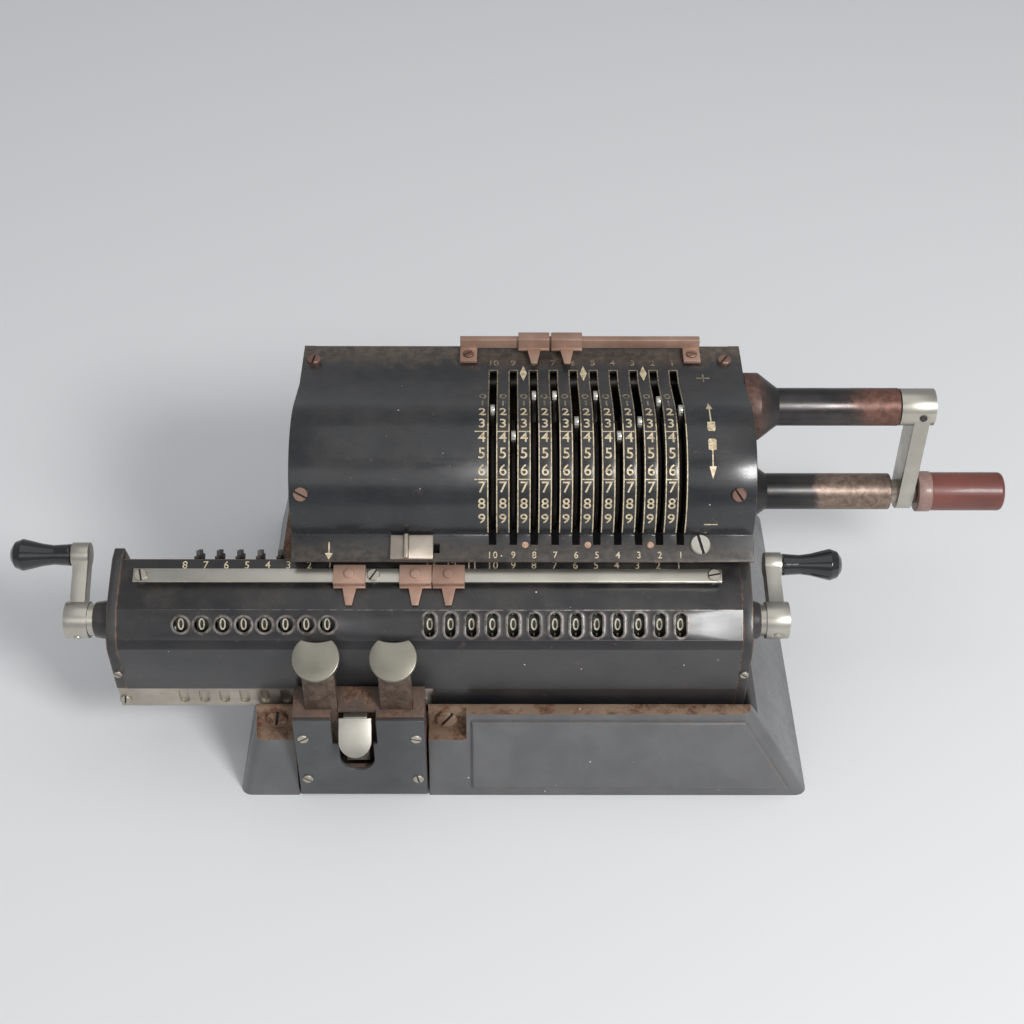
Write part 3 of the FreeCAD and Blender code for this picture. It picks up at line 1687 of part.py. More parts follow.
def make_clearing_grip(label, hub_x, side, angle):
    length = size("clear_arm_length")
    reach = size("clear_grip_length")
    body = document.addObject("PartDesign::Body", label + "_turned")
    sketch = body.newObject("Sketcher::SketchObject", label + "_profile")
    matches = [item for item in body.Origin.OriginFeatures if item.Role == "XY_Plane"]
    sketch.AttachmentSupport = (matches[0], [""])
    sketch.MapMode = "FlatFace"
    bore = size("clear_stud_radius") + fit
    blind = (reach - size("clear_stud_inset") + gap * 2) * side
    root = size("clear_grip_root_radius")
    neck = size("clear_grip_neck_radius")
    bulb = size("clear_grip_bulb_radius")
    outline = [
        corner(gap * side, bore),
        corner(gap * side, root),
        corner(reach * side * 0.30, neck),
        corner(reach * side * 0.48, neck + 0.5),
        corner(reach * side * 0.66, bulb - 0.7),
        corner(reach * side * 0.80, bulb),
        corner(reach * side * 0.92, bulb - 0.9),
        corner(reach * side * 0.985, bulb * 0.5),
        corner(reach * side, 1),
        corner(reach * side, 0),
        corner(blind, 0),
        corner(blind, bore),
    ]
    draw(sketch, outline)
    spun = body.newObject("PartDesign::Revolution", label + "_spun")
    spun.Profile = sketch
    spun.ReferenceAxis = (sketch, ["H_Axis"])
    spun.Angle = 360
    centred = group(label + "_centred", [body])
    move(centred, 0, length, 0)
    turned = group(label, [centred])
    turn(turned, ALONG_X, angle)
    move(turned, hub_x, axis_y, axis_z)
    return turned


# Key block and its three keys
block_front = size("block_front_y")
block_wall = size("block_wall")
plate_rear = block_front + size("front_plate_thickness")


def block_outline(inset):
    rise = (size("block_rear_z") - size("block_front_z")) / (block_rear - block_front)
    front = plate_rear + inset
    rear = block_rear - inset
    low = size("block_low_z") + inset
    front_top = size("block_front_z") + rise * (front - block_front) - inset
    rear_top = size("block_front_z") + rise * (rear - block_front) - inset
    return [corner(front, low), corner(rear, low), corner(rear, rear_top), corner(front, front_top)]


def make_key_block():
    outer = plate("block_outer", "YZ", block_outline(as_size(0)), block_left, block_right)
    inner_left = block_left + block_wall
    inner = plate("block_inner", "YZ", block_outline(block_wall), inner_left, block_right - block_wall)
    half = size("key_stem_width") / 2 + loose
    stem_half = size("key_stem_thickness") / 2 + loose
    tools = [inner]
    for side, x in (("left", size("key_left_x")), ("right", size("key_right_x"))):
        low = (x - half, size("key_y") - stem_half, size("block_front_z") - 4)
        high = (x + half, size("key_y") + stem_half, size("block_rear_z") + 1)
        tools.append(box(side + "_key_hole", low, high))
    tools.append(
        box(
            "tongue_space",
            (size("key_slot_left_x"), plate_rear - 1, size("key_slot_low_z")),
            (size("key_slot_right_x"), plate_rear + block_wall + 1, size("block_front_z") + 2),
        )
    )
    return cut("key_block_housing", outer, tools)


def make_front_plate():
    slot_half_width = size("release_width") / 2 + gap
    x = size("release_x")
    low = size("block_low_z")
    high = size("block_front_z")
    blank = box("front_plate_blank", (block_left, block_front, low), (block_right, plate_rear, high))
    slot_end = size("key_slot_low_z") + slot_half_width
    cut_front = block_front - 1
    cut_rear = plate_rear + 1
    slot_left = size("key_slot_left_x")
    slot_right = size("key_slot_right_x")
    wide_low = high - size("wide_slot_depth")
    narrow_left = x - slot_half_width
    narrow_right = x + slot_half_width
    tools = [
        box("wide_slot", (slot_left, cut_front, wide_low), (slot_right, cut_rear, high + 1)),
        box("narrow_slot", (narrow_left, cut_front, slot_end), (narrow_right, cut_rear, high + 1)),
        rod_y("slot_end", x, slot_end, slot_half_width, cut_front, cut_rear),
    ]
    return cut("key_block_front_plate", blank, tools)


plate_screw_places = [
    (block_left + size("plate_screw_inset"), size("upper_plate_screw_z")),
    (block_left + size("plate_screw_inset"), size("lower_plate_screw_z")),
    (block_right - size("plate_screw_inset"), size("upper_plate_screw_z")),
    (block_right - size("plate_screw_inset"), size("lower_plate_screw_z")),
]
pocket_middle_z = (size("pocket_low_z") + rim_z) / 2
pocket_rear_y = rim_front + size("pocket_depth")
pocket_screw_places = [
    block_left - size("pocket_width") / 2,
    block_right + size("pocket_width") / 2,
]


def make_front_screws():
    screws = []
    front = block_front - size("plate_screw_height")
    for index, (x, z) in enumerate(plate_screw_places):
        screws.append(rod_y("plate_screw_" + str(index), x, z, size("plate_screw_radius"), front, block_front))
    pocket_front_y = pocket_rear_y - size("pocket_screw_height")
    radius = size("pocket_screw_radius")
    for index, x in enumerate(pocket_screw_places):
        name = "pocket_screw_" + str(index)
        screws.append(rod_y(name, x, pocket_middle_z, radius, pocket_front_y, pocket_rear_y))
    return group("key_block_screws", screws)


def make_shift_key(label, x):
    half = size("key_stem_width") / 2
    thick = size("key_stem_thickness") / 2
    key_y = size("key_y")
    key_z = size("key_z")
    stem_low = (x - half, key_y - thick, size("key_stem_low_z"))
    stem = box(label + "_stem", stem_low, (x + half, key_y + thick, key_z + 0.5))
    cap = document.addObject("Part::Cylinder", label + "_disc")
    bind(cap, "Radius", size("key_cap_radius"))
    bind(cap, "Height", size("key_cap_thickness"))
    bite = document.addObject("Part::Cylinder", label + "_bite")
    bind(bite, "Radius", size("key_cut_radius"))
    bind(bite, "Height", size("key_cap_thickness") + 2)
    move(bite, 0, size("key_cut_back") + size("key_cut_radius"), -1)
    head = cut(label + "_cap", cap, [bite])
    turn(head, ALONG_X, size("key_cap_tilt"))
    move(head, x, key_y, key_z)
    return fuse(label, [stem, head])


def make_release_key():
    x = size("release_x")
    half = size("release_width") / 2
    thick = size("release_thickness")
    front = half - size("release_reach")
    root_y = size("release_root_y")
    root_z = size("release_root_z")
    tongue = plate(
        "release_blade",
        "XY",
        [
            corner(-half, 0),
            corner(-half, front),
            arc_about(0, front, True),
            corner(half, front),
            corner(half, 0),
        ],
        -thick,
        0,
    )
    tilted_tongue = group("release_tongue", [tongue])
    turn(tilted_tongue, ALONG_X, size("release_tilt"))
    move(tilted_tongue, x, root_y, root_z)
    stem_half = size("release_stem_width") / 2
    stem_rear = root_y + size("release_stem_depth")
    stem_low = (x - stem_half, root_y + gap, size("release_low_z"))
    stem = box("release_stem", stem_low, (x + stem_half, stem_rear, root_z))
    return fuse("release_key", [tilted_tongue, stem])


# Knob on the lip, on a shank through the lip's slot
def make_knob():
    half = size("knob_length") / 2
    low = size("knob_left_x")
    high = size("knob_right_x")
    thick = size("knob_thickness")
    ridge_x = size("knob_ridge_x")
    ridge_half = size("knob_ridge_width") / 2
    lift = size("seat_gap")
    slab = box("knob_slab", (low, -half, lift), (high, half, lift + thick))
    ridge_top = lift + size("knob_ridge_height")
    ridge_bar = box("knob_ridge", (ridge_x - ridge_half, -half, lift), (ridge_x + ridge_half, half, ridge_top))
    shank_half = size("knob_slot_width") / 2 - gap
    shank_left = low + size("knob_shank_inset")
    shank_right = high - size("knob_shank_inset")
    catch_half = shank_half + size("knob_catch_rim")
    catch_top = -wall - gap
    catch_low = catch_top - size("knob_catch_thickness")
    shank = box("knob_shank", (shank_left, -shank_half, catch_low), (shank_right, shank_half, lift + thick / 2))
    catch = box("knob_catch", (shank_left, -catch_half, catch_low), (shank_right, catch_half, catch_top))
    knob = fuse("lip_knob", [slab, ridge_bar, shank, catch])
    turn(knob, ALONG_X, lip_slope)
    move(knob, 0, knob_y, knob_z)
    return knob


strip_slope = slope(size("strip_rear_z") - size("strip_front_z"), size("strip_rear_y") - size("strip_front_y"))
lip_screw_y = size("lip_front_y") + size("lip_screw_inset")


def sloped_screw(label, x, y, z, radius, height, angle):
    head = document.addObject("Part::Cylinder", label + "_head")
    bind(head, "Radius", radius)
    bind(head, "Height", height)
    screw = group(label, [head])
    turn(screw, ALONG_X, angle)
    move(screw, x, y, z)
    return screw


def make_cover_screws():
    radius = size("cover_screw_radius")
    height = size("cover_screw_height")
    strip_y = size("strip_screw_y")
    share = (strip_y - size("strip_front_y")) / (size("strip_rear_y") - size("strip_front_y"))
    strip_z = size("strip_front_z") + (size("strip_rear_z") - size("strip_front_z")) * share
    angle = size("drum_screw_angle")
    drum_screw_y = drum_y + drum_radius * cosine(angle)
    drum_screw_z = drum_z + drum_radius * sine(angle)
    foot_y = rail_front - size("rail_foot_length") / 2
    foot_half = size("rail_foot_width") / 2
    rail_radius = size("rail_screw_radius")
    rail_height = size("rail_screw_height")
    left = cover_left + size("cover_screw_left_inset")
    right = cover_right - size("cover_screw_right_inset")
    rail_left = size("rail_left_x") + foot_half
    rail_right = size("rail_right_x") - foot_half
    level = as_size(0)
    lip_z = on_lip(lip_screw_y)
    lip_radius = size("lip_screw_radius")
    lip_height = size("lip_screw_height")
    lip_x = size("lip_screw_x")
    screws = [
        sloped_screw("left_strip_screw", left, strip_y, strip_z, radius, height, strip_slope),
        sloped_screw("left_drum_screw", left, drum_screw_y, drum_screw_z, radius, height, angle - 90),
        sloped_screw("right_strip_screw", right, strip_y, strip_z, radius, height, strip_slope),
        sloped_screw("right_drum_screw", right, drum_screw_y, drum_screw_z, radius, height, angle - 90),
        sloped_screw("left_rail_screw", rail_left, foot_y, foot_high, rail_radius, rail_height, level),
        sloped_screw("right_rail_screw", rail_right, foot_y, foot_high, rail_radius, rail_height, level),
        sloped_screw("lip_screw", lip_x, lip_screw_y, lip_z, lip_radius, lip_height, lip_slope),
    ]
    return group("cover_screws", screws)


# Every node, in the order in which it is built
front_cover = make_front_cover()
rear_cover = make_rear_cover()
front_whole = bent_sheet("front_whole", front_path, wall, cover_left - 1, cover_right + 1)
rear_path = [back_low, back_bend, strip_rear_inset()]
rear_whole = bent_sheet("rear_whole", rear_path, wall, cover_left - 1, cover_right + 1)

housing_end = size("upper_tube_end_x")
housing_bore = size("crank_shaft_radius") + fit
rest_end = size("rest_tube_end_x")
rest_bore = size("rest_bore_radius")
rest_floor = rest_end - size("rest_bore_depth")
left_hub = size("left_hub_x")
right_hub = size("right_hub_x")
left_angle = size("left_clear_angle")
right_angle = size("right_clear_angle")
counter_shaft_end = middle_left + size("clear_shaft_play")
result_shaft_end = middle_right - size("clear_shaft_play")

nodes = [
    make_base(),
    make_bottom_plate(),
    make_base_screws(),
    make_left_frame(front_whole, rear_whole),
    make_right_frame(front_whole, rear_whole),
    make_tie_rods(),
    front_cover,
    rear_cover,
    make_cover_screws(),
    make_rail(),
    make_slider("left_top_marker", size("left_slider_x")),
    make_slider("right_top_marker", size("right_slider_x")),
    make_tube("crank_shaft_housing", crank_z, housing_end, housing_bore, cover_right - 1),
    make_tube("crank_rest_tube", crank_low_z, rest_end, rest_bore, rest_floor),
    make_crank_shaft(),
    make_crank_arm(),
    make_crank_pin(),
    make_latch(),
    make_crank_grip(),
    make_idler(),
    make_idler_stud(),
    make_rotor_shaft(),
    make_discs(),
    make_pins(),
    make_counter_finger(),
    make_housing(),
    make_carriage_plates(),
    make_carriage_rods(),
    make_guide_brackets(),
    make_rack(),
    make_marker_bar(),
    make_carriage_screws(),
    make_marker("counter_marker", size("counter_marker_x")),
    make_marker("left_result_marker", size("left_marker_x")),
    make_marker("right_result_marker", size("right_marker_x")),
    make_wheels("result_number_wheels", result_places),
    make_wheels("counter_number_wheels", counter_places),
    make_step_gears("result_step_gears", result_places),
    make_step_gears("counter_step_gears", counter_places),
    make_clearing_crank("left_clearing_crank", left_hub, -1, left_angle, counter_shaft_end),
    make_clearing_crank("right_clearing_crank", right_hub, 1, right_angle, result_shaft_end),
    make_clearing_grip("left_clearing_grip", left_hub, -1, left_angle),
    make_clearing_grip("right_clearing_grip", right_hub, 1, right_angle),
    make_key_block(),
    make_front_plate(),
    make_front_screws(),
    make_shift_key("left_shift_key", size("key_left_x")),
    make_shift_key("right_shift_key", size("key_right_x")),
    make_release_key(),
    make_knob(),
]
nodes += [make_lever(index, digit) for index, digit in enumerate(DIGITS)]
document.recompute()

# Nothing is written unless every object and every shape is sound
for item in document.Objects:
    if "Invalid" in item.State or "Error" in item.State:
        raise SystemExit("failed: " + item.Name)
for node in nodes:
    if node.Shape.isNull() or not node.Shape.isValid() or not node.Shape.Solids:
        raise SystemExit("bad shape: " + node.Label)
os.makedirs("parts", exist_ok=True)
for node in nodes:
    node.Shape.exportStep("parts/" + node.Label + ".step")
print(len(nodes), "nodes written")
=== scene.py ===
import json
import math

import bmesh
import bpy
from mathutils import Matrix, Vector

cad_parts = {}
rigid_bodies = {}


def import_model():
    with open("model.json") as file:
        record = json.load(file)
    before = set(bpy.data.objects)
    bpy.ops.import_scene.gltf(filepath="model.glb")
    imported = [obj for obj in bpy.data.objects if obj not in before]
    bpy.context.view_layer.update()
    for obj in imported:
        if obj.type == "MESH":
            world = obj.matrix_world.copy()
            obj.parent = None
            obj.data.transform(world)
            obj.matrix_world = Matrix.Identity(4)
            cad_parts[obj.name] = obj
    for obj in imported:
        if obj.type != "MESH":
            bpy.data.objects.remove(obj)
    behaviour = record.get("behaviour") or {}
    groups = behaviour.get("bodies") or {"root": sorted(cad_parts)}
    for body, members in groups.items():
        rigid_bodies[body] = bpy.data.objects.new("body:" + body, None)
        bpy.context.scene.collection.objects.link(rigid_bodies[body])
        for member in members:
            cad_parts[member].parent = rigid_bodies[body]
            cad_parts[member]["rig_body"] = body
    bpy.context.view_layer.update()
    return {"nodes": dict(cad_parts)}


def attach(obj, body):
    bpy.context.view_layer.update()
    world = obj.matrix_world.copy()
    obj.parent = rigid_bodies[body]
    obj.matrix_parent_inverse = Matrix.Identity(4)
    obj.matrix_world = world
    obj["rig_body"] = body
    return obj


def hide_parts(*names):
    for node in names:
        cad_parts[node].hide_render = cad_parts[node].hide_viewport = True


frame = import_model()
nodes = frame["nodes"]
mm = 0.001

# Shared sizes of the machine in millimetres
machine = {
    "slotX": 52.1,
    "pitch": 7.0,
    "counterX": -65.94,
    "drumY": -7.6,
    "drumZ": 93.0,
    "drumRadius": 27.0,
    "drumStart": 75.2,
    "drumEnd": 187.4,
    "stripFront": (15.6, 114.8),
    "stripRear": (36.3, 115.6),
    "lipFront": (-42.6, 84.9),
    "slotWidth": 2.4,
    "slotRearY": 22.6,
    "slotFrontY": -37.4,
    "wheelY": -48.8,
    "wheelZ": 63.3,
    "wheelRadius": 8.0,
    "bandTilt": 45.8,
    "ridge": (-53.4, 73.0),
    "carriageTop": (-36.2, 79.7),
    "facetY": -60.8,
    "bandMiddle": (-56.99, 69.31),
    "rimTop": 35.5,
    "blockSpan": (-78.7, -34.0),
    "pocketWidth": 14.0,
    "pocketFloor": 24.5,
}


# Node helpers
def addNode(tree, kind, place=(0, 0), **values):
    node = tree.nodes.new(kind)
    node.location = place
    for key, value in values.items():
        setattr(node, key, value)
    return node


def joinSockets(tree, source, target):
    tree.links.new(source, target)


def mathNode(tree, operation, first, second=None, third=None, clamp=False):
    node = addNode(tree, "ShaderNodeMath", operation=operation, use_clamp=clamp)
    for index, value in enumerate((first, second, third)):
        if value is None:
            continue
        if isinstance(value, (int, float)):
            node.inputs[index].default_value = value
        else:
            tree.links.new(value, node.inputs[index])
    return node.outputs[0]


def ramp(tree, value, low, high, first=0.0, last=1.0):
    node = addNode(tree, "ShaderNodeMapRange", interpolation_type="SMOOTHSTEP")
    tree.links.new(value, node.inputs["Value"])
    for name, number in (("From Min", low), ("From Max", high), ("To Min", first), ("To Max", last)):
        if isinstance(number, (int, float)):
            node.inputs[name].default_value = number
        else:
            tree.links.new(number, node.inputs[name])
    return node.outputs["Result"]


def mixColour(tree, factor, first, second):
    node = addNode(tree, "ShaderNodeMix", data_type="RGBA")
    for socket, value in ((node.inputs[0], factor), (node.inputs[6], first), (node.inputs[7], second)):
        if isinstance(value, (int, float)):
            socket.default_value = value
        elif isinstance(value, tuple):
            socket.default_value = (*value, 1.0)
        else:
            tree.links.new(value, socket)
    return node.outputs[2]


def mixValue(tree, factor, first, second):
    node = addNode(tree, "ShaderNodeMix", data_type="FLOAT")
    for socket, value in ((node.inputs[0], factor), (node.inputs[2], first), (node.inputs[3], second)):
        if isinstance(value, (int, float)):
            socket.default_value = value
        else:
            tree.links.new(value, socket)
    return node.outputs[0]


def noise(tree, scale, detail=4.0, roughness=0.55, vector=None):
    node = addNode(tree, "ShaderNodeTexNoise")
    node.inputs["Detail"].default_value = detail
    node.inputs["Roughness"].default_value = roughness
    if isinstance(scale, (int, float)):
        node.inputs["Scale"].default_value = scale
    else:
        tree.links.new(scale, node.inputs["Scale"])
    source = vector
    if source is None:
        source = addNode(tree, "ShaderNodeTexCoord").outputs["Object"]
    tree.links.new(source, node.inputs["Vector"])
    return node.outputs[0]


def newGroup(name, inputs, outputs):
    tree = bpy.data.node_groups.new(name, "ShaderNodeTree")
    for label, value in inputs.items():
        socket = tree.interface.new_socket(label, in_out="INPUT", socket_type="NodeSocketFloat")
        socket.default_value = value
    for label, kind in outputs.items():
        tree.interface.new_socket(label, in_out="OUTPUT", socket_type=kind)
    return tree, addNode(tree, "NodeGroupInput"), addNode(tree, "NodeGroupOutput")


# Bare metal where the finish has rubbed off along edges
def makeWornEdges():
    tree, given, made = newGroup(
        "wornEdges", {"Width": 0.0006, "Amount": 1.0, "Scale": 300.0}, {"Mask": "NodeSocketFloat"}
    )
    soft = addNode(tree, "ShaderNodeBevel", samples=4)
    joinSockets(tree, given.outputs["Width"], soft.inputs["Radius"])
    flat = addNode(tree, "ShaderNodeNewGeometry")
    dot = addNode(tree, "ShaderNodeVectorMath", operation="DOT_PRODUCT")
    joinSockets(tree, soft.outputs[0], dot.inputs[0])
    joinSockets(tree, flat.outputs["Normal"], dot.inputs[1])
    turned = mathNode(tree, "SUBTRACT", 1.0, dot.outputs["Value"])
    edge = mathNode(tree, "MULTIPLY", ramp(tree, turned, 0.01, 0.2), given.outputs["Amount"])
    patch = noise(tree, given.outputs["Scale"], 6.0, 0.7)
    over = mathNode(tree, "SUBTRACT", edge, ramp(tree, patch, 0.32, 0.68))
    joinSockets(tree, ramp(tree, over, -0.04, 0.1), made.inputs["Mask"])
    return tree


# Dust that has settled on faces that look up, with a few white specks
def makeDust():
    tree, given, made = newGroup(
        "settledDust", {"Amount": 0.5, "Scale": 90.0}, {"Mask": "NodeSocketFloat", "Specks": "NodeSocketFloat"}
    )
    flat = addNode(tree, "ShaderNodeNewGeometry")
    parts = addNode(tree, "ShaderNodeSeparateXYZ")
    joinSockets(tree, flat.outputs["Normal"], parts.inputs[0])
    up = ramp(tree, parts.outputs["Z"], 0.2, 0.95)
    broad = noise(tree, given.outputs["Scale"], 3.0, 0.6)
    fine = noise(tree, 1800.0, 3.0, 0.8)
    both = mathNode(tree, "MULTIPLY", ramp(tree, broad, 0.35, 0.7), ramp(tree, fine, 0.35, 0.65, 0.25, 1.0))
    cover = mathNode(tree, "MULTIPLY", mathNode(tree, "MULTIPLY", both, up), given.outputs["Amount"], clamp=True)
    joinSockets(tree, cover, made.inputs["Mask"])
    cells = addNode(tree, "ShaderNodeTexVoronoi")
    cells.inputs["Scale"].default_value = 260.0
    joinSockets(tree, addNode(tree, "ShaderNodeTexCoord").outputs["Object"], cells.inputs["Vector"])
    pick = addNode(tree, "ShaderNodeSeparateColor")
    joinSockets(tree, cells.outputs["Color"], pick.inputs[0])
    few = ramp(tree, pick.outputs[0], 0.90, 0.91)
    dot = ramp(tree, cells.outputs["Distance"], 0.04, 0.09, 1.0, 0.0)
    joinSockets(tree, mathNode(tree, "MULTIPLY", few, dot), made.inputs["Specks"])
    return tree


# Blotches of rust and brown grime
def makeRust():
    tree, given, made = newGroup(
        "rustBlotches", {"Amount": 0.5, "Scale": 120.0}, {"Mask": "NodeSocketFloat", "Color": "NodeSocketColor"}
    )
    blotch = noise(tree, given.outputs["Scale"], 7.0, 0.68)
    edge = mathNode(tree, "SUBTRACT", 0.82, mathNode(tree, "MULTIPLY", given.outputs["Amount"], 0.6))
    joinSockets(tree, ramp(tree, mathNode(tree, "SUBTRACT", blotch, edge), -0.05, 0.08), made.inputs["Mask"])
    tint = noise(tree, 700.0, 5.0, 0.7)
    deep = mixColour(tree, ramp(tree, tint, 0.35, 0.65), (0.055, 0.028, 0.018), (0.21, 0.10, 0.055))
    joinSockets(tree, mixColour(tree, ramp(tree, tint, 0.6, 0.78), deep, (0.36, 0.20, 0.10)), made.inputs["Color"])
    return tree


# Fine scratches and pits for bump and gloss
def makeMarks():
    tree, given, made = newGroup(
        "fineMarks", {"Scale": 500.0, "Stretch": 0.15}, {"Height": "NodeSocketFloat", "Gloss": "NodeSocketFloat"}
    )
    place = addNode(tree, "ShaderNodeTexCoord").outputs["Object"]
    scaled = addNode(tree, "ShaderNodeVectorMath", operation="MULTIPLY")
    sides = addNode(tree, "ShaderNodeCombineXYZ")
    joinSockets(tree, given.outputs["Stretch"], sides.inputs["X"])
    sides.inputs["Y"].default_value = 1.0
    sides.inputs["Z"].default_value = 1.0
    joinSockets(tree, place, scaled.inputs[0])
    joinSockets(tree, sides.outputs[0], scaled.inputs[1])
    lines = noise(tree, given.outputs["Scale"], 5.0, 0.65, scaled.outputs[0])
    smear = noise(tree, 45.0, 3.0, 0.6)
    joinSockets(tree, lines, made.inputs["Height"])
    joinSockets(tree, mixValue(tree, 0.5, lines, smear), made.inputs["Gloss"])
    return tree


wornEdges = makeWornEdges()
settledDust = makeDust()
rustBlotches = makeRust()
fineMarks = makeMarks()


def useGroup(tree, group, **values):
    node = addNode(tree, "ShaderNodeGroup")
    node.node_tree = group
    for name, value in values.items():
        node.inputs[name].default_value = value
    return node.outputs


def newMaterial(name):
    material = bpy.data.materials.new(name)
    material.use_nodes = True
    tree = material.node_tree
    return material, tree, tree.nodes["Principled BSDF"]


# Where a patch of another look begins: along X, Y or Z, or by distance from the drum's axis, in millimetres
def patchMask(tree, patch):
    place = addNode(tree, "ShaderNodeTexCoord").outputs["Object"]
    if patch["along"] == "reach":
        from_axis = addNode(tree, "ShaderNodeVectorMath", operation="SUBTRACT")
        joinSockets(tree, place, from_axis.inputs[0])
        from_axis.inputs[1].default_value = (0.0, machine["drumY"] * mm, machine["drumZ"] * mm)
        flat = addNode(tree, "ShaderNodeVectorMath", operation="MULTIPLY")
        joinSockets(tree, from_axis.outputs[0], flat.inputs[0])
        flat.inputs[1].default_value = (0.0, 1.0, 1.0)
        length = addNode(tree, "ShaderNodeVectorMath", operation="LENGTH")
        joinSockets(tree, flat.outputs[0], length.inputs[0])
        value = length.outputs["Value"]
    else:
        parts = addNode(tree, "ShaderNodeSeparateXYZ")
        joinSockets(tree, place, parts.inputs[0])
        value = parts.outputs[patch["along"]]
    wander = mathNode(tree, "SUBTRACT", noise(tree, patch.get("scale", 150.0), 5.0, 0.65), 0.5)
    moved = mathNode(tree, "ADD", value, mathNode(tree, "MULTIPLY", wander, patch.get("wander", 0.0) * mm * 2))
    low, high = patch["span"]
    if low < high:
        return ramp(tree, moved, low * mm, high * mm)
    return ramp(tree, moved, high * mm, low * mm, 1.0, 0.0)


# One worn finish: base, gloss, edge wear, rust, dust and marks from one dictionary
def wornFinish(name, look):
    material, tree, shader = newMaterial(name)
    marks = useGroup(tree, fineMarks, Scale=look.get("markScale", 500.0), Stretch=look.get("stretch", 0.15))
    mottle = ramp(tree, noise(tree, look.get("mottleScale", 60.0)), 0.3, 0.7)
    colour = mixColour(tree, mottle, look["base"], look.get("second", look["base"]))
    gloss = ramp(tree, marks["Gloss"], 0.3, 0.7, look["rough"][0], look["rough"][1])
    metal = look.get("metal", 0.0)
    for patch in look.get("patches", []):
        mask = patchMask(tree, patch)
        tint = mixColour(tree, ramp(tree, noise(tree, 420.0, 5.0, 0.7), 0.35, 0.65), patch["first"], patch["second"])
        colour = mixColour(tree, mask, colour, tint)
        gloss = mixValue(tree, mask, gloss, patch["rough"])
        metal = mixValue(tree, mask, metal, patch.get("metal", 0.0))
    if look.get("rust", 0) > 0:
        rust = useGroup(tree, rustBlotches, Amount=look["rust"], Scale=look.get("rustScale", 120.0))
        colour = mixColour(tree, rust["Mask"], colour, rust["Color"])
        gloss = mixValue(tree, rust["Mask"], gloss, 0.75)
        metal = mixValue(tree, rust["Mask"], metal, 0.0)
    if look.get("wear", 0) > 0:
        worn = useGroup(tree, wornEdges, Width=look.get("wearWidth", 0.0006), Amount=look["wear"])
        bare = ramp(tree, noise(tree, 400.0), 0.35, 0.65)
        under = look.get("under", ((0.14, 0.065, 0.038), (0.36, 0.19, 0.12)))
        colour = mixColour(tree, worn["Mask"], colour, mixColour(tree, bare, under[0], under[1]))
        gloss = mixValue(tree, worn["Mask"], gloss, 0.45)
        metal = mixValue(tree, worn["Mask"], metal, 0.5)
    if look.get("dust", 0) > 0:
        dust = useGroup(tree, settledDust, Amount=look["dust"], Scale=look.get("dustScale", 90.0))
        colour = mixColour(tree, dust["Mask"], colour, look.get("dustColour", (0.17, 0.135, 0.10)))
        colour = mixColour(tree, dust["Specks"], colour, (0.75, 0.73, 0.69))
        gloss = mixValue(tree, dust["Mask"], gloss, 0.9)
    joinSockets(tree, colour, shader.inputs["Base Color"])
    joinSockets(tree, gloss, shader.inputs["Roughness"])
    if isinstance(metal, float):
        shader.inputs["Metallic"].default_value = metal
    else:
        joinSockets(tree, metal, shader.inputs["Metallic"])
    shader.inputs["Coat Weight"].default_value = look.get("coat", 0.0)
    shader.inputs["Coat Roughness"].default_value = look.get("coatRough", 0.1)
    bump = addNode(tree, "ShaderNodeBump")
    bump.inputs["Strength"].default_value = look.get("bump", 0.12)
    bump.inputs["Distance"].default_value = 0.0002
    joinSockets(tree, marks["Height"], bump.inputs["Height"])
    joinSockets(tree, bump.outputs[0], shader.inputs["Normal"])
    return material


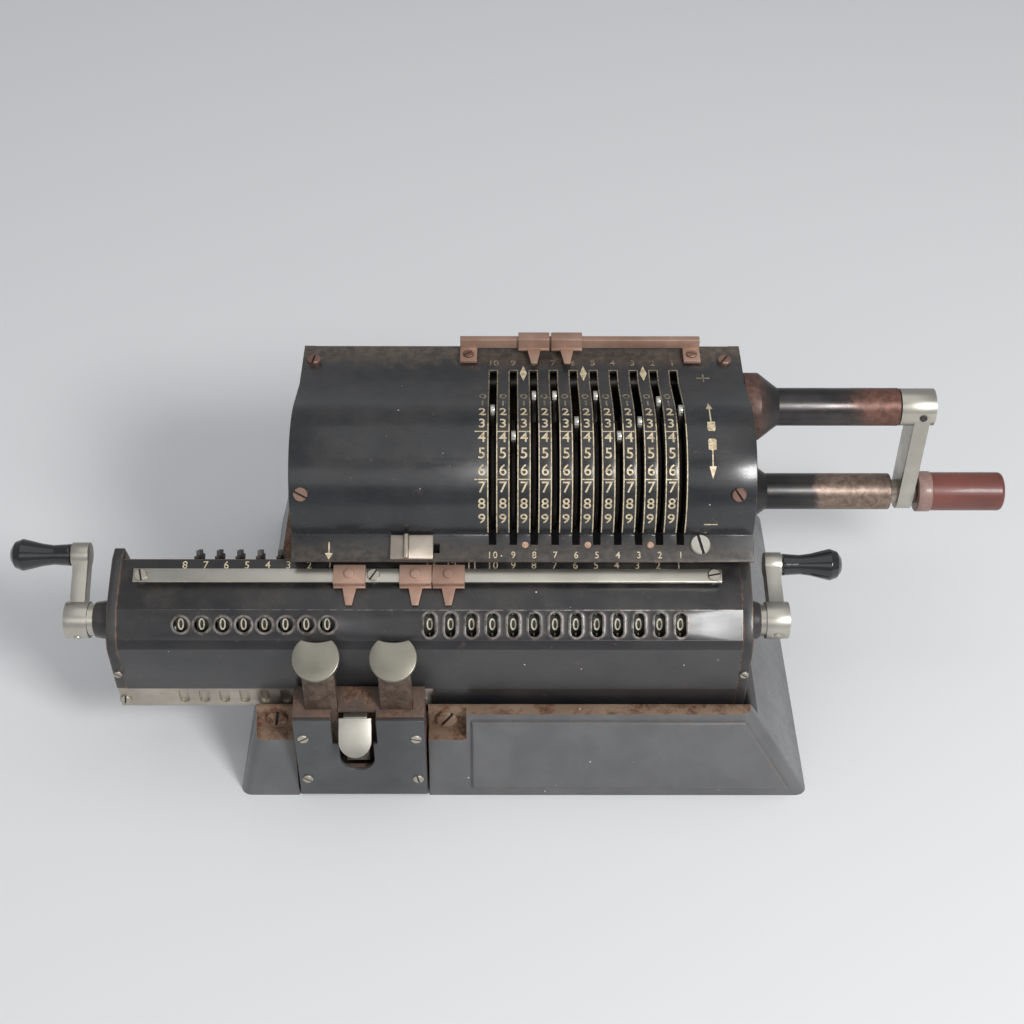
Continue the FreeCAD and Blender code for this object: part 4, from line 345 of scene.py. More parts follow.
looks = {
    "drumEnamel": {
        "base": (0.012, 0.013, 0.015), "second": (0.020, 0.021, 0.024), "rough": (0.20, 0.36),
        "coat": 0.35, "coatRough": 0.16, "wear": 0.8, "dust": 0.16, "bump": 0.05,
        "patches": [
            {"along": "Y", "span": (22.0, 34.0), "wander": 9.0, "first": (0.045, 0.034, 0.026),
             "second": (0.11, 0.082, 0.06), "rough": 0.7},
            {"along": "Y", "span": (-34.6, -41.0), "wander": 5.0, "first": (0.020, 0.017, 0.015),
             "second": (0.060, 0.048, 0.038), "rough": 0.55},
        ],
    },
    "carriageEnamel": {
        "base": (0.013, 0.013, 0.016), "second": (0.022, 0.021, 0.021), "rough": (0.26, 0.44),
        "coat": 0.3, "coatRough": 0.2, "wear": 1.0, "dust": 0.22, "bump": 0.07,
        "patches": [
            {"along": "X", "span": (74.5, 75.3), "wander": 0.9, "first": (0.20, 0.11, 0.08),
             "second": (0.36, 0.22, 0.17), "rough": 0.55, "metal": 0.3},
            {"along": "X", "span": (-138.2, -139.0), "wander": 0.7, "first": (0.20, 0.11, 0.08),
             "second": (0.36, 0.22, 0.17), "rough": 0.55, "metal": 0.3},
        ],
    },
    # Lighter copy of the carriage enamel for the front facet: painted sheen, the same black paint as the housing made
    # lighter on the face that catches the light
    "facetEnamelPaintedSheen": {
        "base": (0.034, 0.034, 0.036), "second": (0.046, 0.045, 0.045), "rough": (0.30, 0.46),
        "coat": 0.2, "coatRough": 0.25, "wear": 0.8, "dust": 0.1, "bump": 0.07,
        "patches": [
            {"along": "X", "span": (75.0, 75.6), "wander": 0.6, "first": (0.20, 0.11, 0.08),
             "second": (0.36, 0.22, 0.17), "rough": 0.55, "metal": 0.3},
        ],
    },
    "plateEnamel": {
        "base": (0.020, 0.020, 0.021), "second": (0.034, 0.033, 0.033), "rough": (0.28, 0.48),
        "coat": 0.2, "wear": 1.25, "wearWidth": 0.0011, "dust": 0.2, "bump": 0.1,
    },
    "baseEnamel": {
        "base": (0.098, 0.099, 0.101), "second": (0.128, 0.128, 0.129), "rough": (0.30, 0.46),
        "coat": 0.3, "coatRough": 0.22, "wear": 0.6, "dust": 0.12, "bump": 0.08,
    },
    "plateGrey": {
        "base": (0.046, 0.049, 0.052), "second": (0.066, 0.069, 0.072), "rough": (0.32, 0.48),
        "coat": 0.2, "coatRough": 0.25, "wear": 0.8, "dust": 0.15, "bump": 0.08,
    },
    "brownPlate": {
        "base": (0.060, 0.042, 0.034), "second": (0.13, 0.085, 0.065), "rough": (0.45, 0.7),
        "wear": 0.7, "rust": 0.45, "dust": 0.5, "metal": 0.2, "bump": 0.25,
    },
    "rustyLedge": {
        "base": (0.20, 0.13, 0.085), "second": (0.32, 0.22, 0.15), "rough": (0.6, 0.9),
        "rust": 0.55, "dust": 0.5, "dustScale": 160.0, "dustColour": (0.26, 0.19, 0.13), "bump": 0.45, "metal": 0.1,
    },
    "copperRail": {
        "base": (0.34, 0.205, 0.15), "second": (0.48, 0.31, 0.235), "rough": (0.40, 0.6),
        "rust": 0.2, "rustScale": 260.0, "dust": 0.15, "metal": 0.45, "bump": 0.2, "stretch": 1.0,
    },
    "copperScrew": {
        "base": (0.20, 0.11, 0.085), "second": (0.32, 0.20, 0.155), "rough": (0.35, 0.55),
        "rust": 0.3, "rustScale": 500.0, "metal": 0.6, "bump": 0.3, "stretch": 1.0,
    },
    "nickel": {
        "base": (0.46, 0.435, 0.375), "second": (0.55, 0.525, 0.46), "rough": (0.27, 0.42),
        "wear": 0.35, "under": ((0.62, 0.60, 0.55), (0.70, 0.68, 0.63)), "metal": 0.9,
        "rust": 0.05, "rustScale": 300.0, "bump": 0.05,
    },
    "keyNickel": {
        "base": (0.25, 0.235, 0.19), "second": (0.32, 0.30, 0.245), "rough": (0.26, 0.40),
        "wear": 0.6, "under": ((0.55, 0.53, 0.48), (0.66, 0.63, 0.58)),
        "metal": 0.8, "rust": 0.04, "rustScale": 400.0, "bump": 0.05,
        "patches": [
            {"along": "Z", "span": (58.6, 56.0), "wander": 1.0, "first": (0.085, 0.055, 0.04),
             "second": (0.17, 0.12, 0.09), "rough": 0.6, "metal": 0.4},
        ],
    },
    "agedNickel": {
        "base": (0.36, 0.325, 0.27), "second": (0.50, 0.46, 0.395), "rough": (0.32, 0.5),
        "rust": 0.22, "rustScale": 220.0, "metal": 0.8, "bump": 0.12,
    },
    "knobNickel": {
        "base": (0.30, 0.25, 0.20), "second": (0.46, 0.40, 0.34), "rough": (0.28, 0.45),
        "wear": 0.5, "under": ((0.55, 0.52, 0.47), (0.66, 0.63, 0.58)),
        "rust": 0.12, "rustScale": 300.0, "metal": 0.85, "bump": 0.1,
    },
    "gunMetal": {
        "base": (0.040, 0.038, 0.038), "second": (0.075, 0.068, 0.065), "rough": (0.24, 0.4),
        "wear": 0.4, "metal": 0.75, "bump": 0.08,
        "patches": [
            {"along": "X", "span": (88.0, 78.0), "wander": 5.0, "first": (0.085, 0.040, 0.030),
             "second": (0.16, 0.085, 0.065), "rough": 0.5, "metal": 0.4},
            {"along": "X", "span": (110.0, 124.0), "wander": 12.0, "first": (0.10, 0.045, 0.032),
             "second": (0.18, 0.085, 0.060), "rough": 0.45, "metal": 0.4},
        ],
    },
    "restTube": {
        "base": (0.030, 0.029, 0.029), "second": (0.055, 0.050, 0.048), "rough": (0.24, 0.4),
        "wear": 0.4, "metal": 0.6, "bump": 0.08,
        "patches": [
            {"along": "X", "span": (106.0, 108.5), "wander": 4.0, "first": (0.15, 0.105, 0.08),
             "second": (0.27, 0.20, 0.16), "rough": 0.42, "metal": 0.6},
        ],
    },
    "darkSteel": {
        "base": (0.07, 0.066, 0.062), "second": (0.13, 0.12, 0.11), "rough": (0.34, 0.52),
        "rust": 0.2, "rustScale": 300.0, "metal": 0.85, "bump": 0.12,
    },
    "leverSteel": {
        "base": (0.030, 0.026, 0.023), "second": (0.06, 0.052, 0.045), "rough": (0.4, 0.6), "metal": 0.6, "bump": 0.1,
        "patches": [
            {"along": "reach", "span": (26.6, 27.2), "first": (0.50, 0.48, 0.43),
             "second": (0.66, 0.64, 0.59), "rough": 0.3, "metal": 0.95},
        ],
    },
    "maroonGrip": {
        "base": (0.125, 0.033, 0.024), "second": (0.18, 0.052, 0.038), "rough": (0.34, 0.48),
        "coat": 0.15, "wear": 0.25, "under": ((0.34, 0.14, 0.10), (0.42, 0.20, 0.15)), "bump": 0.12, "stretch": 1.0,
        "patches": [
            {"along": "X", "span": (150.1, 149.8), "first": (0.25, 0.15, 0.125),
             "second": (0.32, 0.20, 0.17), "rough": 0.4},
        ],
    },
    "blackGrip": {
        "base": (0.008, 0.008, 0.009), "second": (0.013, 0.013, 0.014), "rough": (0.12, 0.22),
        "coat": 0.5, "coatRough": 0.05, "bump": 0.02,
    },
    "brassWheel": {
        "base": (0.38, 0.28, 0.14), "second": (0.46, 0.35, 0.19), "rough": (0.28, 0.45), "metal": 0.95, "bump": 0.1,
    },
    "wheelBlack": {
        "base": (0.014, 0.013, 0.012), "second": (0.03, 0.027, 0.022), "rough": (0.35, 0.55), "bump": 0.1,
    },
    "wornRim": {
        "base": (0.05, 0.048, 0.047), "second": (0.24, 0.225, 0.21), "rough": (0.3, 0.5), "mottleScale": 420.0,
        "metal": 0.6, "bump": 0.1,
    },
    # Dull black for the pinwheel discs, and painted shade on the floors of the screw slots
    "dullBlackAndSlotShade": {
        "base": (0.010, 0.009, 0.008), "second": (0.018, 0.016, 0.014), "rough": (0.6, 0.8), "bump": 0.1,
    },
}
finish = {name: wornFinish(name, look) for name, look in looks.items()}
print("finishes", len(finish))


# Flat paint for figures and lines, thinned where it has worn
def paintFinish(name, colour, worn):
    material, tree, shader = newMaterial(name)
    patch = ramp(tree, noise(tree, 900.0, 5.0, 0.7), 0.35, 0.6)
    joinSockets(tree, mixColour(tree, patch, worn, colour), shader.inputs["Base Color"])
    shader.inputs["Roughness"].default_value = 0.42
    shader.inputs["Metallic"].default_value = 0.25
    return material


finish["goldPaint"] = paintFinish("goldPaint", (0.76, 0.64, 0.44), (0.40, 0.31, 0.19))
finish["wornGold"] = paintFinish("wornGold", (0.36, 0.30, 0.19), (0.09, 0.072, 0.05))
finish["creamPaint"] = paintFinish("creamPaint", (0.80, 0.74, 0.55), (0.50, 0.44, 0.30))
finish["copperPaint"] = paintFinish("copperPaint", (0.58, 0.37, 0.26), (0.36, 0.21, 0.14))
finish["redFleck"] = paintFinish("redFleck", (0.36, 0.05, 0.035), (0.18, 0.05, 0.035))


# A copy of a node with merged corners and real rounded edges, in the node's own place
def softCopy(node, width, material, turned=32):
    mesh = nodes[node].data.copy()
    shape = bmesh.new()
    shape.from_mesh(mesh)
    bmesh.ops.remove_doubles(shape, verts=shape.verts[:], dist=0.004 * mm)
    bmesh.ops.dissolve_limit(
        shape, angle_limit=math.radians(0.6), verts=shape.verts[:], edges=shape.edges[:], delimit=set()
    )
    sharp = []
    for edge in shape.edges:
        if len(edge.link_faces) == 2 and edge.calc_face_angle(0.0) > math.radians(turned):
            sharp.append(edge)
    bmesh.ops.bevel(
        shape, geom=sharp, offset=width * mm, offset_type="OFFSET", segments=2, profile=0.5,
        affect="EDGES", clamp_overlap=True, material=-1,
    )
    bmesh.ops.triangulate(shape, faces=[face for face in shape.faces if len(face.verts) > 4])
    shape.to_mesh(mesh)
    shape.free()
    mesh.shade_smooth()
    mesh.set_sharp_from_angle(angle=math.radians(40))
    piece = bpy.data.objects.new(node + "_look", mesh)
    bpy.context.scene.collection.objects.link(piece)
    mesh.materials.clear()
    mesh.materials.append(material)
    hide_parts(node)
    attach(piece, nodes[node]["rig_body"])
    return piece


# Faces of a piece that take another finish, chosen by their middle in millimetres and their direction
def paintFaces(piece, material, wanted):
    mesh = piece.data
    mesh.materials.append(material)
    for face in mesh.polygons:
        if wanted(face.center / mm, face.normal):
            face.material_index = len(mesh.materials) - 1


softPieces = {
    "base_casting": (0.6, "baseEnamel"),
    "front_cover": (0.22, "drumEnamel"),
    "rear_cover": (0.3, "drumEnamel"),
    "top_marker_rail": (0.25, "copperRail"),
    "left_top_marker": (0.2, "copperRail"),
    "right_top_marker": (0.2, "copperRail"),
    "crank_shaft_housing": (0.4, "gunMetal"),
    "crank_rest_tube": (0.4, "restTube"),
    "crank_arm": (0.45, "nickel"),
    "crank_grip": (0.2, "maroonGrip"),
    "crank_latch": (0.2, "knobNickel"),
    "carriage_housing": (0.28, "carriageEnamel", 17),
    "carriage_plates": (0.3, "plateEnamel"),
    "carriage_rack": (0.2, "agedNickel"),
    "marker_bar": (0.2, "nickel"),
    "counter_marker": (0.18, "copperRail"),
    "left_result_marker": (0.18, "copperRail"),
    "right_result_marker": (0.18, "copperRail"),
    "left_clearing_crank": (0.35, "nickel"),
    "right_clearing_crank": (0.35, "nickel"),
    "left_clearing_grip": (0.15, "blackGrip"),
    "right_clearing_grip": (0.15, "blackGrip"),
    "key_block_housing": (0.3, "brownPlate"),
    "key_block_front_plate": (0.25, "plateGrey"),
    "left_shift_key": (0.9, "keyNickel"),
    "right_shift_key": (0.9, "keyNickel"),
    "release_key": (0.45, "nickel"),
    "lip_knob": (0.35, "knobNickel"),
    "base_screws": (0.15, "copperScrew"),
    "crank_arm_pin": (0.08, "darkSteel"),
}
for number in range(1, 11):
    softPieces["setting_lever_%d" % number] = (0.18, "leverSteel")

made = {}
for node, (width, look, *turned) in softPieces.items():
    made[node] = softCopy(node, width, finish[look], *turned)


def onRim(middle, normal):
    return normal.z > 0.9 and middle.z > machine["rimTop"] - 0.4


def inPocket(middle, normal):
    low, high = machine["blockSpan"]
    near = low - machine["pocketWidth"] < middle.x < low or high < middle.x < high + machine["pocketWidth"]
    return near and middle.z > machine["pocketFloor"] - 0.3 and -71.0 < middle.y < -60.0 and normal.z > -0.5


def bandHeight(middle):
    tilt = math.radians(machine["bandTilt"])
    return (middle.z - machine["bandMiddle"][1]) * math.cos(tilt) - (middle.y - machine["bandMiddle"][0]) * math.sin(tilt)


def onWindowRim(middle, normal):
    return 0.05 < bandHeight(middle) < 0.9 and -62.0 < middle.y < -52.5


def onFold(middle, normal):
    for y, z in (machine["ridge"], machine["carriageTop"]):
        if math.hypot(middle.y - y, middle.z - z) < 0.4 and normal.z > 0.5:
            return True
    return False


# Front-facing faces of the carriage housing, which take the painted sheen
def onFacet(middle, normal):
    return normal.y < -0.95 and middle.y < machine["facetY"]


paintFaces(made["base_casting"], finish["rustyLedge"], onRim)
paintFaces(made["base_casting"], finish["rustyLedge"], inPocket)
# The front facet gets the lighter copy of the enamel: painted sheen on one face of the same sheet
paintFaces(made["carriage_housing"], finish["facetEnamelPaintedSheen"], onFacet)
paintFaces(made["carriage_housing"], finish["wornRim"], onWindowRim)
paintFaces(made["carriage_housing"], finish["wornRim"], onFold)
print("rounded pieces", len(made))

plainNodes = {
    "bottom_plate": "baseEnamel", "left_side_frame": "drumEnamel", "right_side_frame": "drumEnamel",
    "tie_rods": "darkSteel", "crank_shaft": "darkSteel", "idler_gear": "brassWheel", "idler_stud": "darkSteel",
    "rotor_shaft": "darkSteel", "pinwheel_discs": "dullBlackAndSlotShade", "pinwheel_pins": "darkSteel",
    "counter_finger": "darkSteel", "carriage_rods": "darkSteel", "guide_brackets": "rustyLedge",
    "result_number_wheels": "wheelBlack", "counter_number_wheels": "wheelBlack",
    "result_step_gears": "darkSteel", "counter_step_gears": "darkSteel",
}
for node, look in plainNodes.items():
    carried = nodes[node]
    if not carried.material_slots:
        carried.data.materials.append(finish[look])
    for place in carried.material_slots:
        place.material = finish[look]
print("plain nodes", len(plainNodes))


# Each screw of a node, read from its solids: middle of its seat, direction, radius and height
def readScrews(node):
    shape = bmesh.new()
    shape.from_mesh(nodes[node].data)
    bmesh.ops.remove_doubles(shape, verts=shape.verts[:], dist=0.004 * mm)
    bmesh.ops.dissolve_limit(
        shape, angle_limit=math.radians(0.6), verts=shape.verts[:], edges=shape.edges[:], delimit=set()
    )
    left = set(shape.faces)
    found = []
    while left:
        island = {left.pop()}
        front = list(island)
        while front:
            for edge in front.pop().edges:
                for face in edge.link_faces:
                    if face in left:
                        left.discard(face)
                        island.add(face)
                        front.append(face)
        cap = max(island, key=lambda face: face.calc_area())
        axis = cap.normal.normalized()
        if axis.dot(Vector((0, -0.5, 1))) < 0:
            axis = -axis
        points = [vert.co.copy() for face in island for vert in face.verts]
        middle = sum(points, Vector()) / len(points)
        along = [(point - middle).dot(axis) for point in points]
        radius = max(((point - middle) - axis * (point - middle).dot(axis)).length for point in points)
        found.append((middle + axis * min(along), axis, radius, max(along) - min(along)))
    shape.free()
    found.sort(key=lambda screw: tuple(screw[0]))
    return found


screwShape = {"slotWidth": 0.32, "slotDepth": 0.6, "chamfer": 0.12, "steps": 14}


def addScrew(shape, screw, turn, index, slotShadeIndex):
    seat, axis, radius, height = screw
    side = axis.orthogonal().normalized()
    side.rotate(Matrix.Rotation(turn, 3, axis))
    other = axis.cross(side)
    steps = screwShape["steps"]
    floor = height * (1 - screwShape["slotDepth"])
    chamfer = radius * screwShape["chamfer"]
    start = math.asin(screwShape["slotWidth"] / 2)

    def ring(angles, reach, lift):
        return [
            shape.verts.new(seat + side * math.cos(angle) * reach + other * math.sin(angle) * reach + axis * lift)
            for angle in angles
        ]

    def closed(rings):
        faces = [shape.faces.new(list(reversed(rings[0]))), shape.faces.new(rings[-1])]
        for low, high in zip(rings, rings[1:]):
            for step in range(len(low)):
                after = (step + 1) % len(low)
                faces.append(shape.faces.new([low[step], low[after], high[after], high[step]]))
        for face in faces:
            face.material_index = index
        return faces

    whole = [math.tau * step / (steps * 2) for step in range(steps * 2)]
    disc = closed([ring(whole, radius, 0.0), ring(whole, radius, floor)])
    # The floor of each screw's slot takes the dull black: painted shade at the bottom of the slot
    disc[1].material_index = slotShadeIndex
    for half in (0.0, math.pi):
        angles = [half + start + (math.pi - 2 * start) * step / steps for step in range(steps + 1)]
        rings = [ring(angles, radius, floor * 0.9), ring(angles, radius, height - chamfer)]
        closed(rings + [ring(angles, radius - chamfer, height)])


# Finish of a screw by its node, its size and its place
def screwLook(node, seat, radius):
    if node == "cover_screws":
        return "nickel" if radius > 3.0 * mm else "copperScrew"
    if node == "key_block_screws":
        return "rustyLedge" if radius > 3.0 * mm else "agedNickel"
    return "copperScrew" if seat.z > 70.0 * mm and seat.x < -130.0 * mm else "agedNickel"


for node in ("cover_screws", "carriage_screws", "key_block_screws"):
    shape = bmesh.new()
    # Material 0 of each screw mesh is the dull black of the slot floors: painted shade
    used = ["dullBlackAndSlotShade"]
    for index, screw in enumerate(readScrews(node)):
        look = screwLook(node, screw[0], screw[2])
        if look not in used:
            used.append(look)
        addScrew(shape, screw, math.radians(35 + 67 * index), used.index(look), 0)
    mesh = bpy.data.meshes.new(node + "_look")
    shape.to_mesh(mesh)
    shape.free()
    for look in used:
        mesh.materials.append(finish[look])
    heads = bpy.data.objects.new(node + "_look", mesh)
    bpy.context.scene.collection.objects.link(heads)
    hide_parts(node)
    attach(heads, nodes[node]["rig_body"])
print("slotted screws")


# Camera of the photograph, from the fit of its straight edges
camera = {
    "place": (-5.432, -432.811, 463.246),
    "forward": (0.001978, 0.738813, -0.673908),
    "up": (-0.000957, 0.673910, 0.738812),
    "lens": 57.19,
}


def makeCamera():
    data = bpy.data.cameras.new("photoCamera")
    data.lens = camera["lens"]
    data.sensor_width = 36.0
    data.clip_start = 0.01
    seen = bpy.data.objects.new("photoCamera", data)
    bpy.context.scene.collection.objects.link(seen)
    forward = Vector(camera["forward"]).normalized()
    up = Vector(camera["up"]).normalized()
    right = forward.cross(up).normalized()
    up = right.cross(forward)
    turned = Matrix((right, up, -forward)).transposed()
    seen.matrix_world = Matrix.Translation(Vector(camera["place"]) * mm) @ turned.to_4x4()
    bpy.context.scene.camera = seen


studio = {
    "floorColour": (0.80, 0.80, 0.805),
    "worldColour": (0.86, 0.89, 0.93),
    "worldLevel": 0.40,
    "lamps": [
        ("keyLamp", (0.72, -0.85, 0.95), (0.0, 0.0, 0.05), (0.35, 0.35), 12.5),
        ("topLamp", (0.05, 0.0, 1.30), (0.0, 0.0, 0.08), (1.2, 1.2), 2.6),
        ("frontLamp", (-0.10, -1.15, 0.95), (0.0, 0.0, 0.09), (1.9, 0.6), 3.0),
    ],
}


def makeStudio():
    shape = bmesh.new()
    bmesh.ops.create_grid(shape, x_segments=1, y_segments=1, size=3.0)
    mesh = bpy.data.meshes.new("floor")
    shape.to_mesh(mesh)
    shape.free()
    floor = bpy.data.objects.new("floor", mesh)
    bpy.context.scene.collection.objects.link(floor)
    material, tree, shader = newMaterial("paleFloor")
    shader.inputs["Base Color"].default_value = (*studio["floorColour"], 1.0)
    shader.inputs["Roughness"].default_value = 0.6
    mesh.materials.append(material)
    world = bpy.data.worlds.new("studio")
    world.use_nodes = True
    world.node_tree.nodes["Background"].inputs["Color"].default_value = (*studio["worldColour"], 1.0)
    world.node_tree.nodes["Background"].inputs["Strength"].default_value = studio["worldLevel"]
    bpy.context.scene.world = world
    for name, place, target, sides, power in studio["lamps"]:
        data = bpy.data.lights.new(name, "AREA")
        data.shape = "RECTANGLE"
        data.size, data.size_y = sides
        data.energy = power
        lamp = bpy.data.objects.new(name, data)
        bpy.context.scene.collection.objects.link(lamp)
        lamp.location = place
        lamp.rotation_euler = (Vector(target) - Vector(place)).to_track_quat("-Z", "Y").to_euler()


makeCamera()
makeStudio()
bpy.context.scene.view_settings.view_transform = "Standard"
print("camera and studio")


# Places on the drum cover: a point and the outward direction at an angle about the drum
def onDrum(angle, lift=0.0):
    if angle >= machine["drumStart"]:
        out = (math.cos(math.radians(angle)), math.sin(math.radians(angle)))
        reach = machine["drumRadius"] + lift
        return machine["drumY"] + reach * out[0], machine["drumZ"] + reach * out[1], out
    low = machine["stripFront"]
    start = math.radians(machine["drumStart"])
    high = (
        machine["drumY"] + machine["drumRadius"] * math.cos(start),
        machine["drumZ"] + machine["drumRadius"] * math.sin(start),
    )
    run, rise = high[0] - low[0], high[1] - low[1]
    tangent = math.tan(math.radians(angle))
    share = (tangent * (low[0] - machine["drumY"]) - (low[1] - machine["drumZ"])) / (rise - tangent * run)
    length = math.hypot(run, rise)
    out = (rise / length, -run / length)
    return low[0] + share * run + lift * out[0], low[1] + share * rise + lift * out[1], out


glyphs = {}


def glyphMesh(letter):
    if letter not in glyphs:
        words = bpy.data.curves.new("glyph", "FONT")
        words.body = letter
        words.align_x = "CENTER"
        words.align_y = "CENTER"
        words.size = 1.0
        words.offset = 0.004
        words.extrude = 0.02
        words.resolution_u = 3
        holder = bpy.data.objects.new("glyph", words)
        bpy.context.scene.collection.objects.link(holder)
        bpy.context.view_layer.update()
        glyphs[letter] = bpy.data.meshes.new_from_object(holder)
        bpy.data.objects.remove(holder)
    return glyphs[letter]


# Figures and lines are gathered into one bmesh for each finish and body
def stampFigure(sheet, letter, x, y, z, out, height, width=1.0):
    across = Vector((1, 0, 0))
    away = Vector((0, out[0], out[1])).normalized()
    upward = away.cross(across).normalized()
    turned = Matrix((across * width, upward, away)).transposed().to_4x4()
    place = Matrix.Translation(Vector((x, y, z)) * mm) @ turned @ Matrix.Scale(height * mm / 0.72, 4)
    before = len(sheet.verts)
    sheet.from_mesh(glyphMesh(letter))
    sheet.verts.ensure_lookup_table()
    bmesh.ops.transform(sheet, matrix=place, verts=sheet.verts[before:])


# A thin painted shape: rows of (y, z, outward) with the X of its left and right edge
def stampStrip(sheet, rows, thick=0.05):
    rings = []
    for left, right, (y, z, out) in rows:
        lift = (out[0] * thick, out[1] * thick)
        corners = [(left, y - lift[0], z - lift[1]), (right, y - lift[0], z - lift[1])]
        corners += [(right, y + lift[0], z + lift[1]), (left, y + lift[0], z + lift[1])]
        rings.append([sheet.verts.new(Vector(corner) * mm) for corner in corners])
    sheet.faces.new(rings[0])
    sheet.faces.new(list(reversed(rings[-1])))
    for near, far in zip(rings, rings[1:]):
        for step in range(4):
            after = (step + 1) % 4
            sheet.faces.new([near[after], near[step], far[step], far[after]])


def onPlane(start, end, share):
    run, rise = end[0] - start[0], end[1] - start[1]
    length = math.hypot(run, rise)
    out = (-rise / length, run / length)
    if out[1] < 0:
        out = (-out[0], -out[1])
    return start[0] + run * share, start[1] + rise * share, out


def onStrip(share):
    return onPlane(machine["stripFront"], machine["stripRear"], share)


# A place on the lip by its Y
def onLip(y):
    end = math.radians(machine["drumEnd"])
    reach = machine["drumRadius"]
    top = (machine["drumY"] + reach * math.cos(end), machine["drumZ"] + reach * math.sin(end))
    return onPlane(top, machine["lipFront"], (y - top[0]) / (machine["lipFront"][0] - top[0]))


def onCarriage(share):
    return onPlane(machine["ridge"], machine["carriageTop"], share)


def finishFigures(sheet, name, material, body):
    mesh = bpy.data.meshes.new(name)
    bmesh.ops.recalc_face_normals(sheet, faces=sheet.faces[:])
    sheet.to_mesh(mesh)
    sheet.free()
    mesh.materials.append(material)
    piece = bpy.data.objects.new(name, mesh)
    bpy.context.scene.collection.objects.link(piece)
    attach(piece, body)
    return piece


drumFigures = {"offset": -3.5, "first": 64.2, "step": 12.0, "height": 3.8, "width": 1.04, "worn": 2}
brightSheet = bmesh.new()
wornSheet = bmesh.new()
for column in range(10):
    for digit in range(10):
        y, z, out = onDrum(drumFigures["first"] + drumFigures["step"] * digit, 0.03)
        x = machine["slotX"] - machine["pitch"] * column + drumFigures["offset"]
        sheet = wornSheet if digit < drumFigures["worn"] else brightSheet
        stampFigure(sheet, str(digit), x, y, z, out, drumFigures["height"], drumFigures["width"])

# Lines beside the slots, across their rear ends, and between the figures
goldLines = {"gap": 0.12, "width": 0.34, "upper": 107.0, "lower": 142.4, "reach": 5.9, "stripShare": 0.335}
edge = machine["slotWidth"] / 2 + goldLines["gap"]
for column in range(10):
    x = machine["slotX"] - machine["pitch"] * column
    for low in (x - edge - goldLines["width"], x + edge):
        high = low + goldLines["width"]
        upper = [(low, high, onStrip(goldLines["stripShare"])), (low, high, onStrip(0.0))]
        upper.append((low, high, onDrum(machine["drumStart"])))
        upper += [(low, high, onDrum(angle)) for angle in range(80, 101, 5)]
        stampStrip(wornSheet, upper)
        stampStrip(brightSheet, [(low, high, onDrum(angle)) for angle in range(100, 186, 5)])
    cap = [onStrip(goldLines["stripShare"]), onStrip(goldLines["stripShare"] + goldLines["width"] / 20.7)]
    stampStrip(wornSheet, [(x - edge - goldLines["width"], x + edge + goldLines["width"], place) for place in cap])
    for angle in (goldLines["upper"], goldLines["lower"]):
        left = x - machine["pitch"] + edge if column < 9 else x - goldLines["reach"]
        ends = [onDrum(angle - 0.4), onDrum(angle + 0.4)]
        stampStrip(brightSheet, [(left, x - edge, place) for place in ends])

# Plus, minus and the double arrow at the right of the slots
signs = {"x": 62.0, "plus": 62.4, "plusShare": 0.141, "half": 2.3, "line": 0.2, "minus": 177.0}
upright = [onStrip(signs["plusShare"] - 0.1), onStrip(signs["plusShare"] + 0.1)]
level = [onStrip(signs["plusShare"] - 0.014), onStrip(signs["plusShare"] + 0.014)]
stampStrip(wornSheet, [(signs["plus"] - signs["line"], signs["plus"] + signs["line"], place) for place in upright])
stampStrip(wornSheet, [(signs["plus"] - signs["half"], signs["plus"] + signs["half"], place) for place in level])
ends = [onDrum(signs["minus"] - 0.45), onDrum(signs["minus"] + 0.45)]
stampStrip(brightSheet, [(signs["x"] - signs["half"], signs["x"] + signs["half"], place) for place in ends])
upArrow = [(76.0, 0.05), (84.0, 1.1), (84.2, 0.22), (98.0, 0.22), (98.2, 1.3), (105.0, 1.35), (106.4, 1.0)]
downArrow = [(112.7, 1.0), (114.0, 1.35), (121.0, 1.3), (121.6, 0.22), (133.0, 0.22), (133.2, 1.2), (141.8, 0.05)]
for arrow in (upArrow, downArrow):
    rows = []
    for (angle, half), (nextAngle, nextHalf) in zip(arrow, arrow[1:]):
        steps = math.ceil((nextAngle - angle) / 3)
        for step in range(steps):
            wide = half + (nextHalf - half) * step / steps
            place = onDrum(angle + (nextAngle - angle) * step / steps)
            rows.append((signs["x"] - wide, signs["x"] + wide, place))
    wide = arrow[-1][1]
    stampStrip(brightSheet, rows + [(signs["x"] - wide, signs["x"] + wide, onDrum(arrow[-1][0]))])

# Diamonds and column figures on the strip, figures and dots on the lip
diamonds = {"x": (-0.4, 20.6, 41.6), "low": 0.07, "high": 0.45, "half": 1.25}
for x in diamonds["x"]:
    middle = (diamonds["low"] + diamonds["high"]) / 2
    rows = [(x - 0.05, x + 0.05, onStrip(diamonds["low"])), (x - diamonds["half"], x + diamonds["half"], onStrip(middle))]
    stampStrip(brightSheet, rows + [(x - 0.05, x + 0.05, onStrip(diamonds["high"]))])
copperSheet = bmesh.new()
lipMarks = {"figureY": -40.7, "figureHeight": 2.4, "dotY": -37.5, "dotRadius": 1.1, "dotFlat": 0.87, "stripShare": 0.53}
for column in range(10):
    x = machine["slotX"] - machine["pitch"] * column
    y, z, out = onStrip(lipMarks["stripShare"])
    for index, letter in enumerate(str(column + 1)):
        shift = (index - (len(str(column + 1)) - 1) / 2) * 1.9
        stampFigure(wornSheet, letter, x + shift, y, z, out, 2.9, 1.0)
        lipY, lipZ, lipOut = onLip(lipMarks["figureY"])
        stampFigure(brightSheet, letter, x + shift, lipY, lipZ, lipOut, lipMarks["figureHeight"], 0.95)
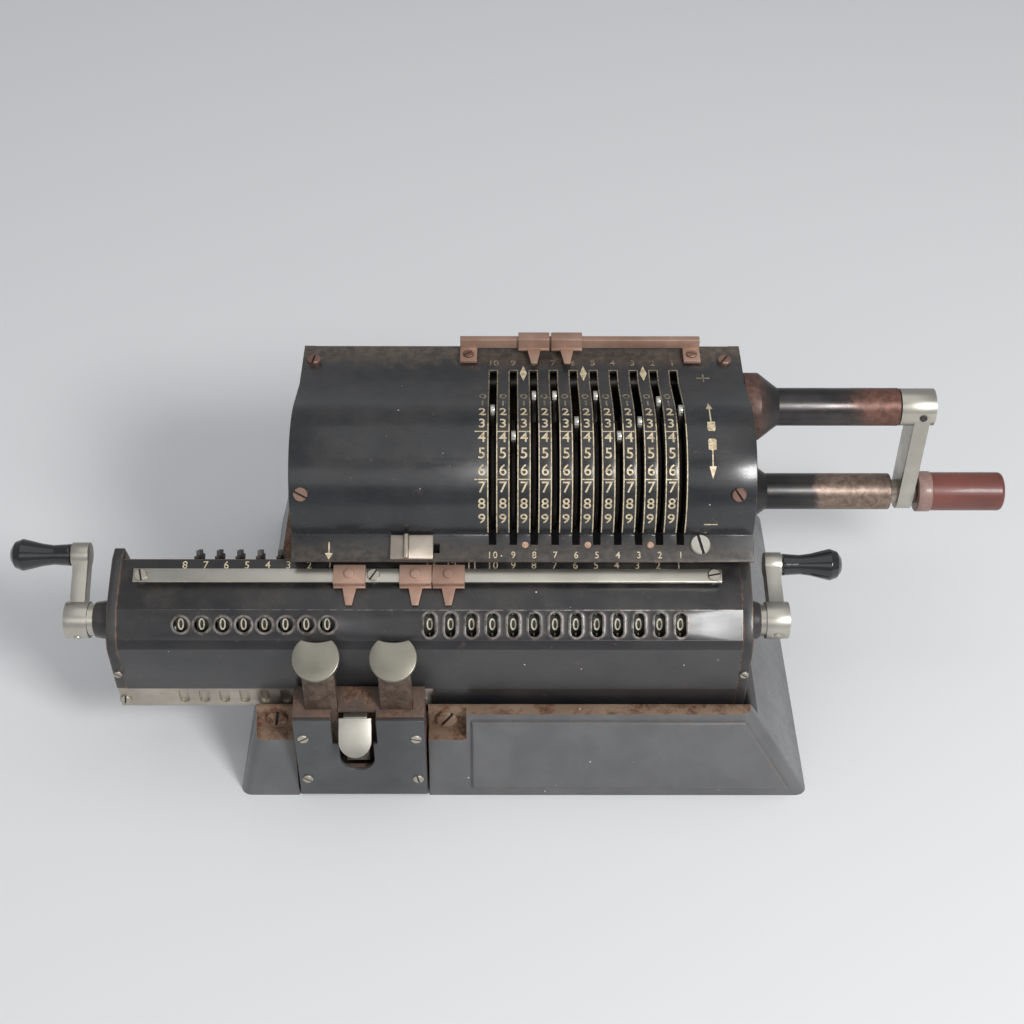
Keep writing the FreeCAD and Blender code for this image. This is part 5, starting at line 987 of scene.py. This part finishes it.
for x in diamonds["x"]:
    rows = []
    for step in range(9):
        turn = math.pi * step / 8
        y = lipMarks["dotY"] + math.cos(turn) * lipMarks["dotRadius"] * lipMarks["dotFlat"]
        half = max(math.sin(turn) * lipMarks["dotRadius"], 0.02)
        rows.append((x + 0.5 - half, x + 0.5 + half, onLip(y)))
    stampStrip(copperSheet, rows)
lipArrow = [(-36.7, 0.25), (-40.0, 0.25), (-40.1, 1.3), (-42.0, 0.05)]
stampStrip(brightSheet, [(-65.6 - half, -65.6 + half, onLip(y)) for y, half in lipArrow])
finishFigures(brightSheet, "cover_figures", finish["goldPaint"], "root")
finishFigures(wornSheet, "worn_cover_figures", finish["wornGold"], "root")
finishFigures(copperSheet, "lip_dots", finish["copperPaint"], "root")
print("cover figures")

# Column figures above the bar of the carriage
carriageSheet = bmesh.new()
columnFigures = {"share": 0.875, "height": 2.8, "width": 0.95, "step": 2.0}
for count, firstX in ((13, machine["slotX"]), (8, machine["counterX"])):
    for column in range(count):
        word = str(column + 1)
        y, z, out = onCarriage(columnFigures["share"])
        for index, letter in enumerate(word):
            x = firstX - machine["pitch"] * column + (index - (len(word) - 1) / 2) * columnFigures["step"]
            stampFigure(carriageSheet, letter, x, y, z, out, columnFigures["height"], columnFigures["width"])
finishFigures(carriageSheet, "carriage_figures", finish["goldPaint"], "carriage")
print("carriage figures")


# Zero to nine round each number wheel, the nought facing its window at rest
wheelFigures = {"height": 4.2, "width": 0.80, "lift": 0.02, "step": 36.0, "lead": 10.0}


def wheelSheet(count, firstX, name, body):
    sheet = bmesh.new()
    reach = machine["wheelRadius"] + wheelFigures["lift"]
    for index in range(count):
        for digit in range(10):
            facing = 90 + machine["bandTilt"] + wheelFigures["lead"]
            turn = math.radians(facing + wheelFigures["step"] * digit)
            out = (math.cos(turn), math.sin(turn))
            y = machine["wheelY"] + reach * out[0]
            z = machine["wheelZ"] + reach * out[1]
            stampFigure(
                sheet, str(digit), firstX - machine["pitch"] * index, y, z, out,
                wheelFigures["height"], wheelFigures["width"],
            )
    finishFigures(sheet, name, finish["creamPaint"], body)


wheelSheet(13, machine["slotX"], "result_figures", "result_wheels")
wheelSheet(8, machine["counterX"] - 0.3, "counter_figures", "counter_wheels")
print("wheel figures")
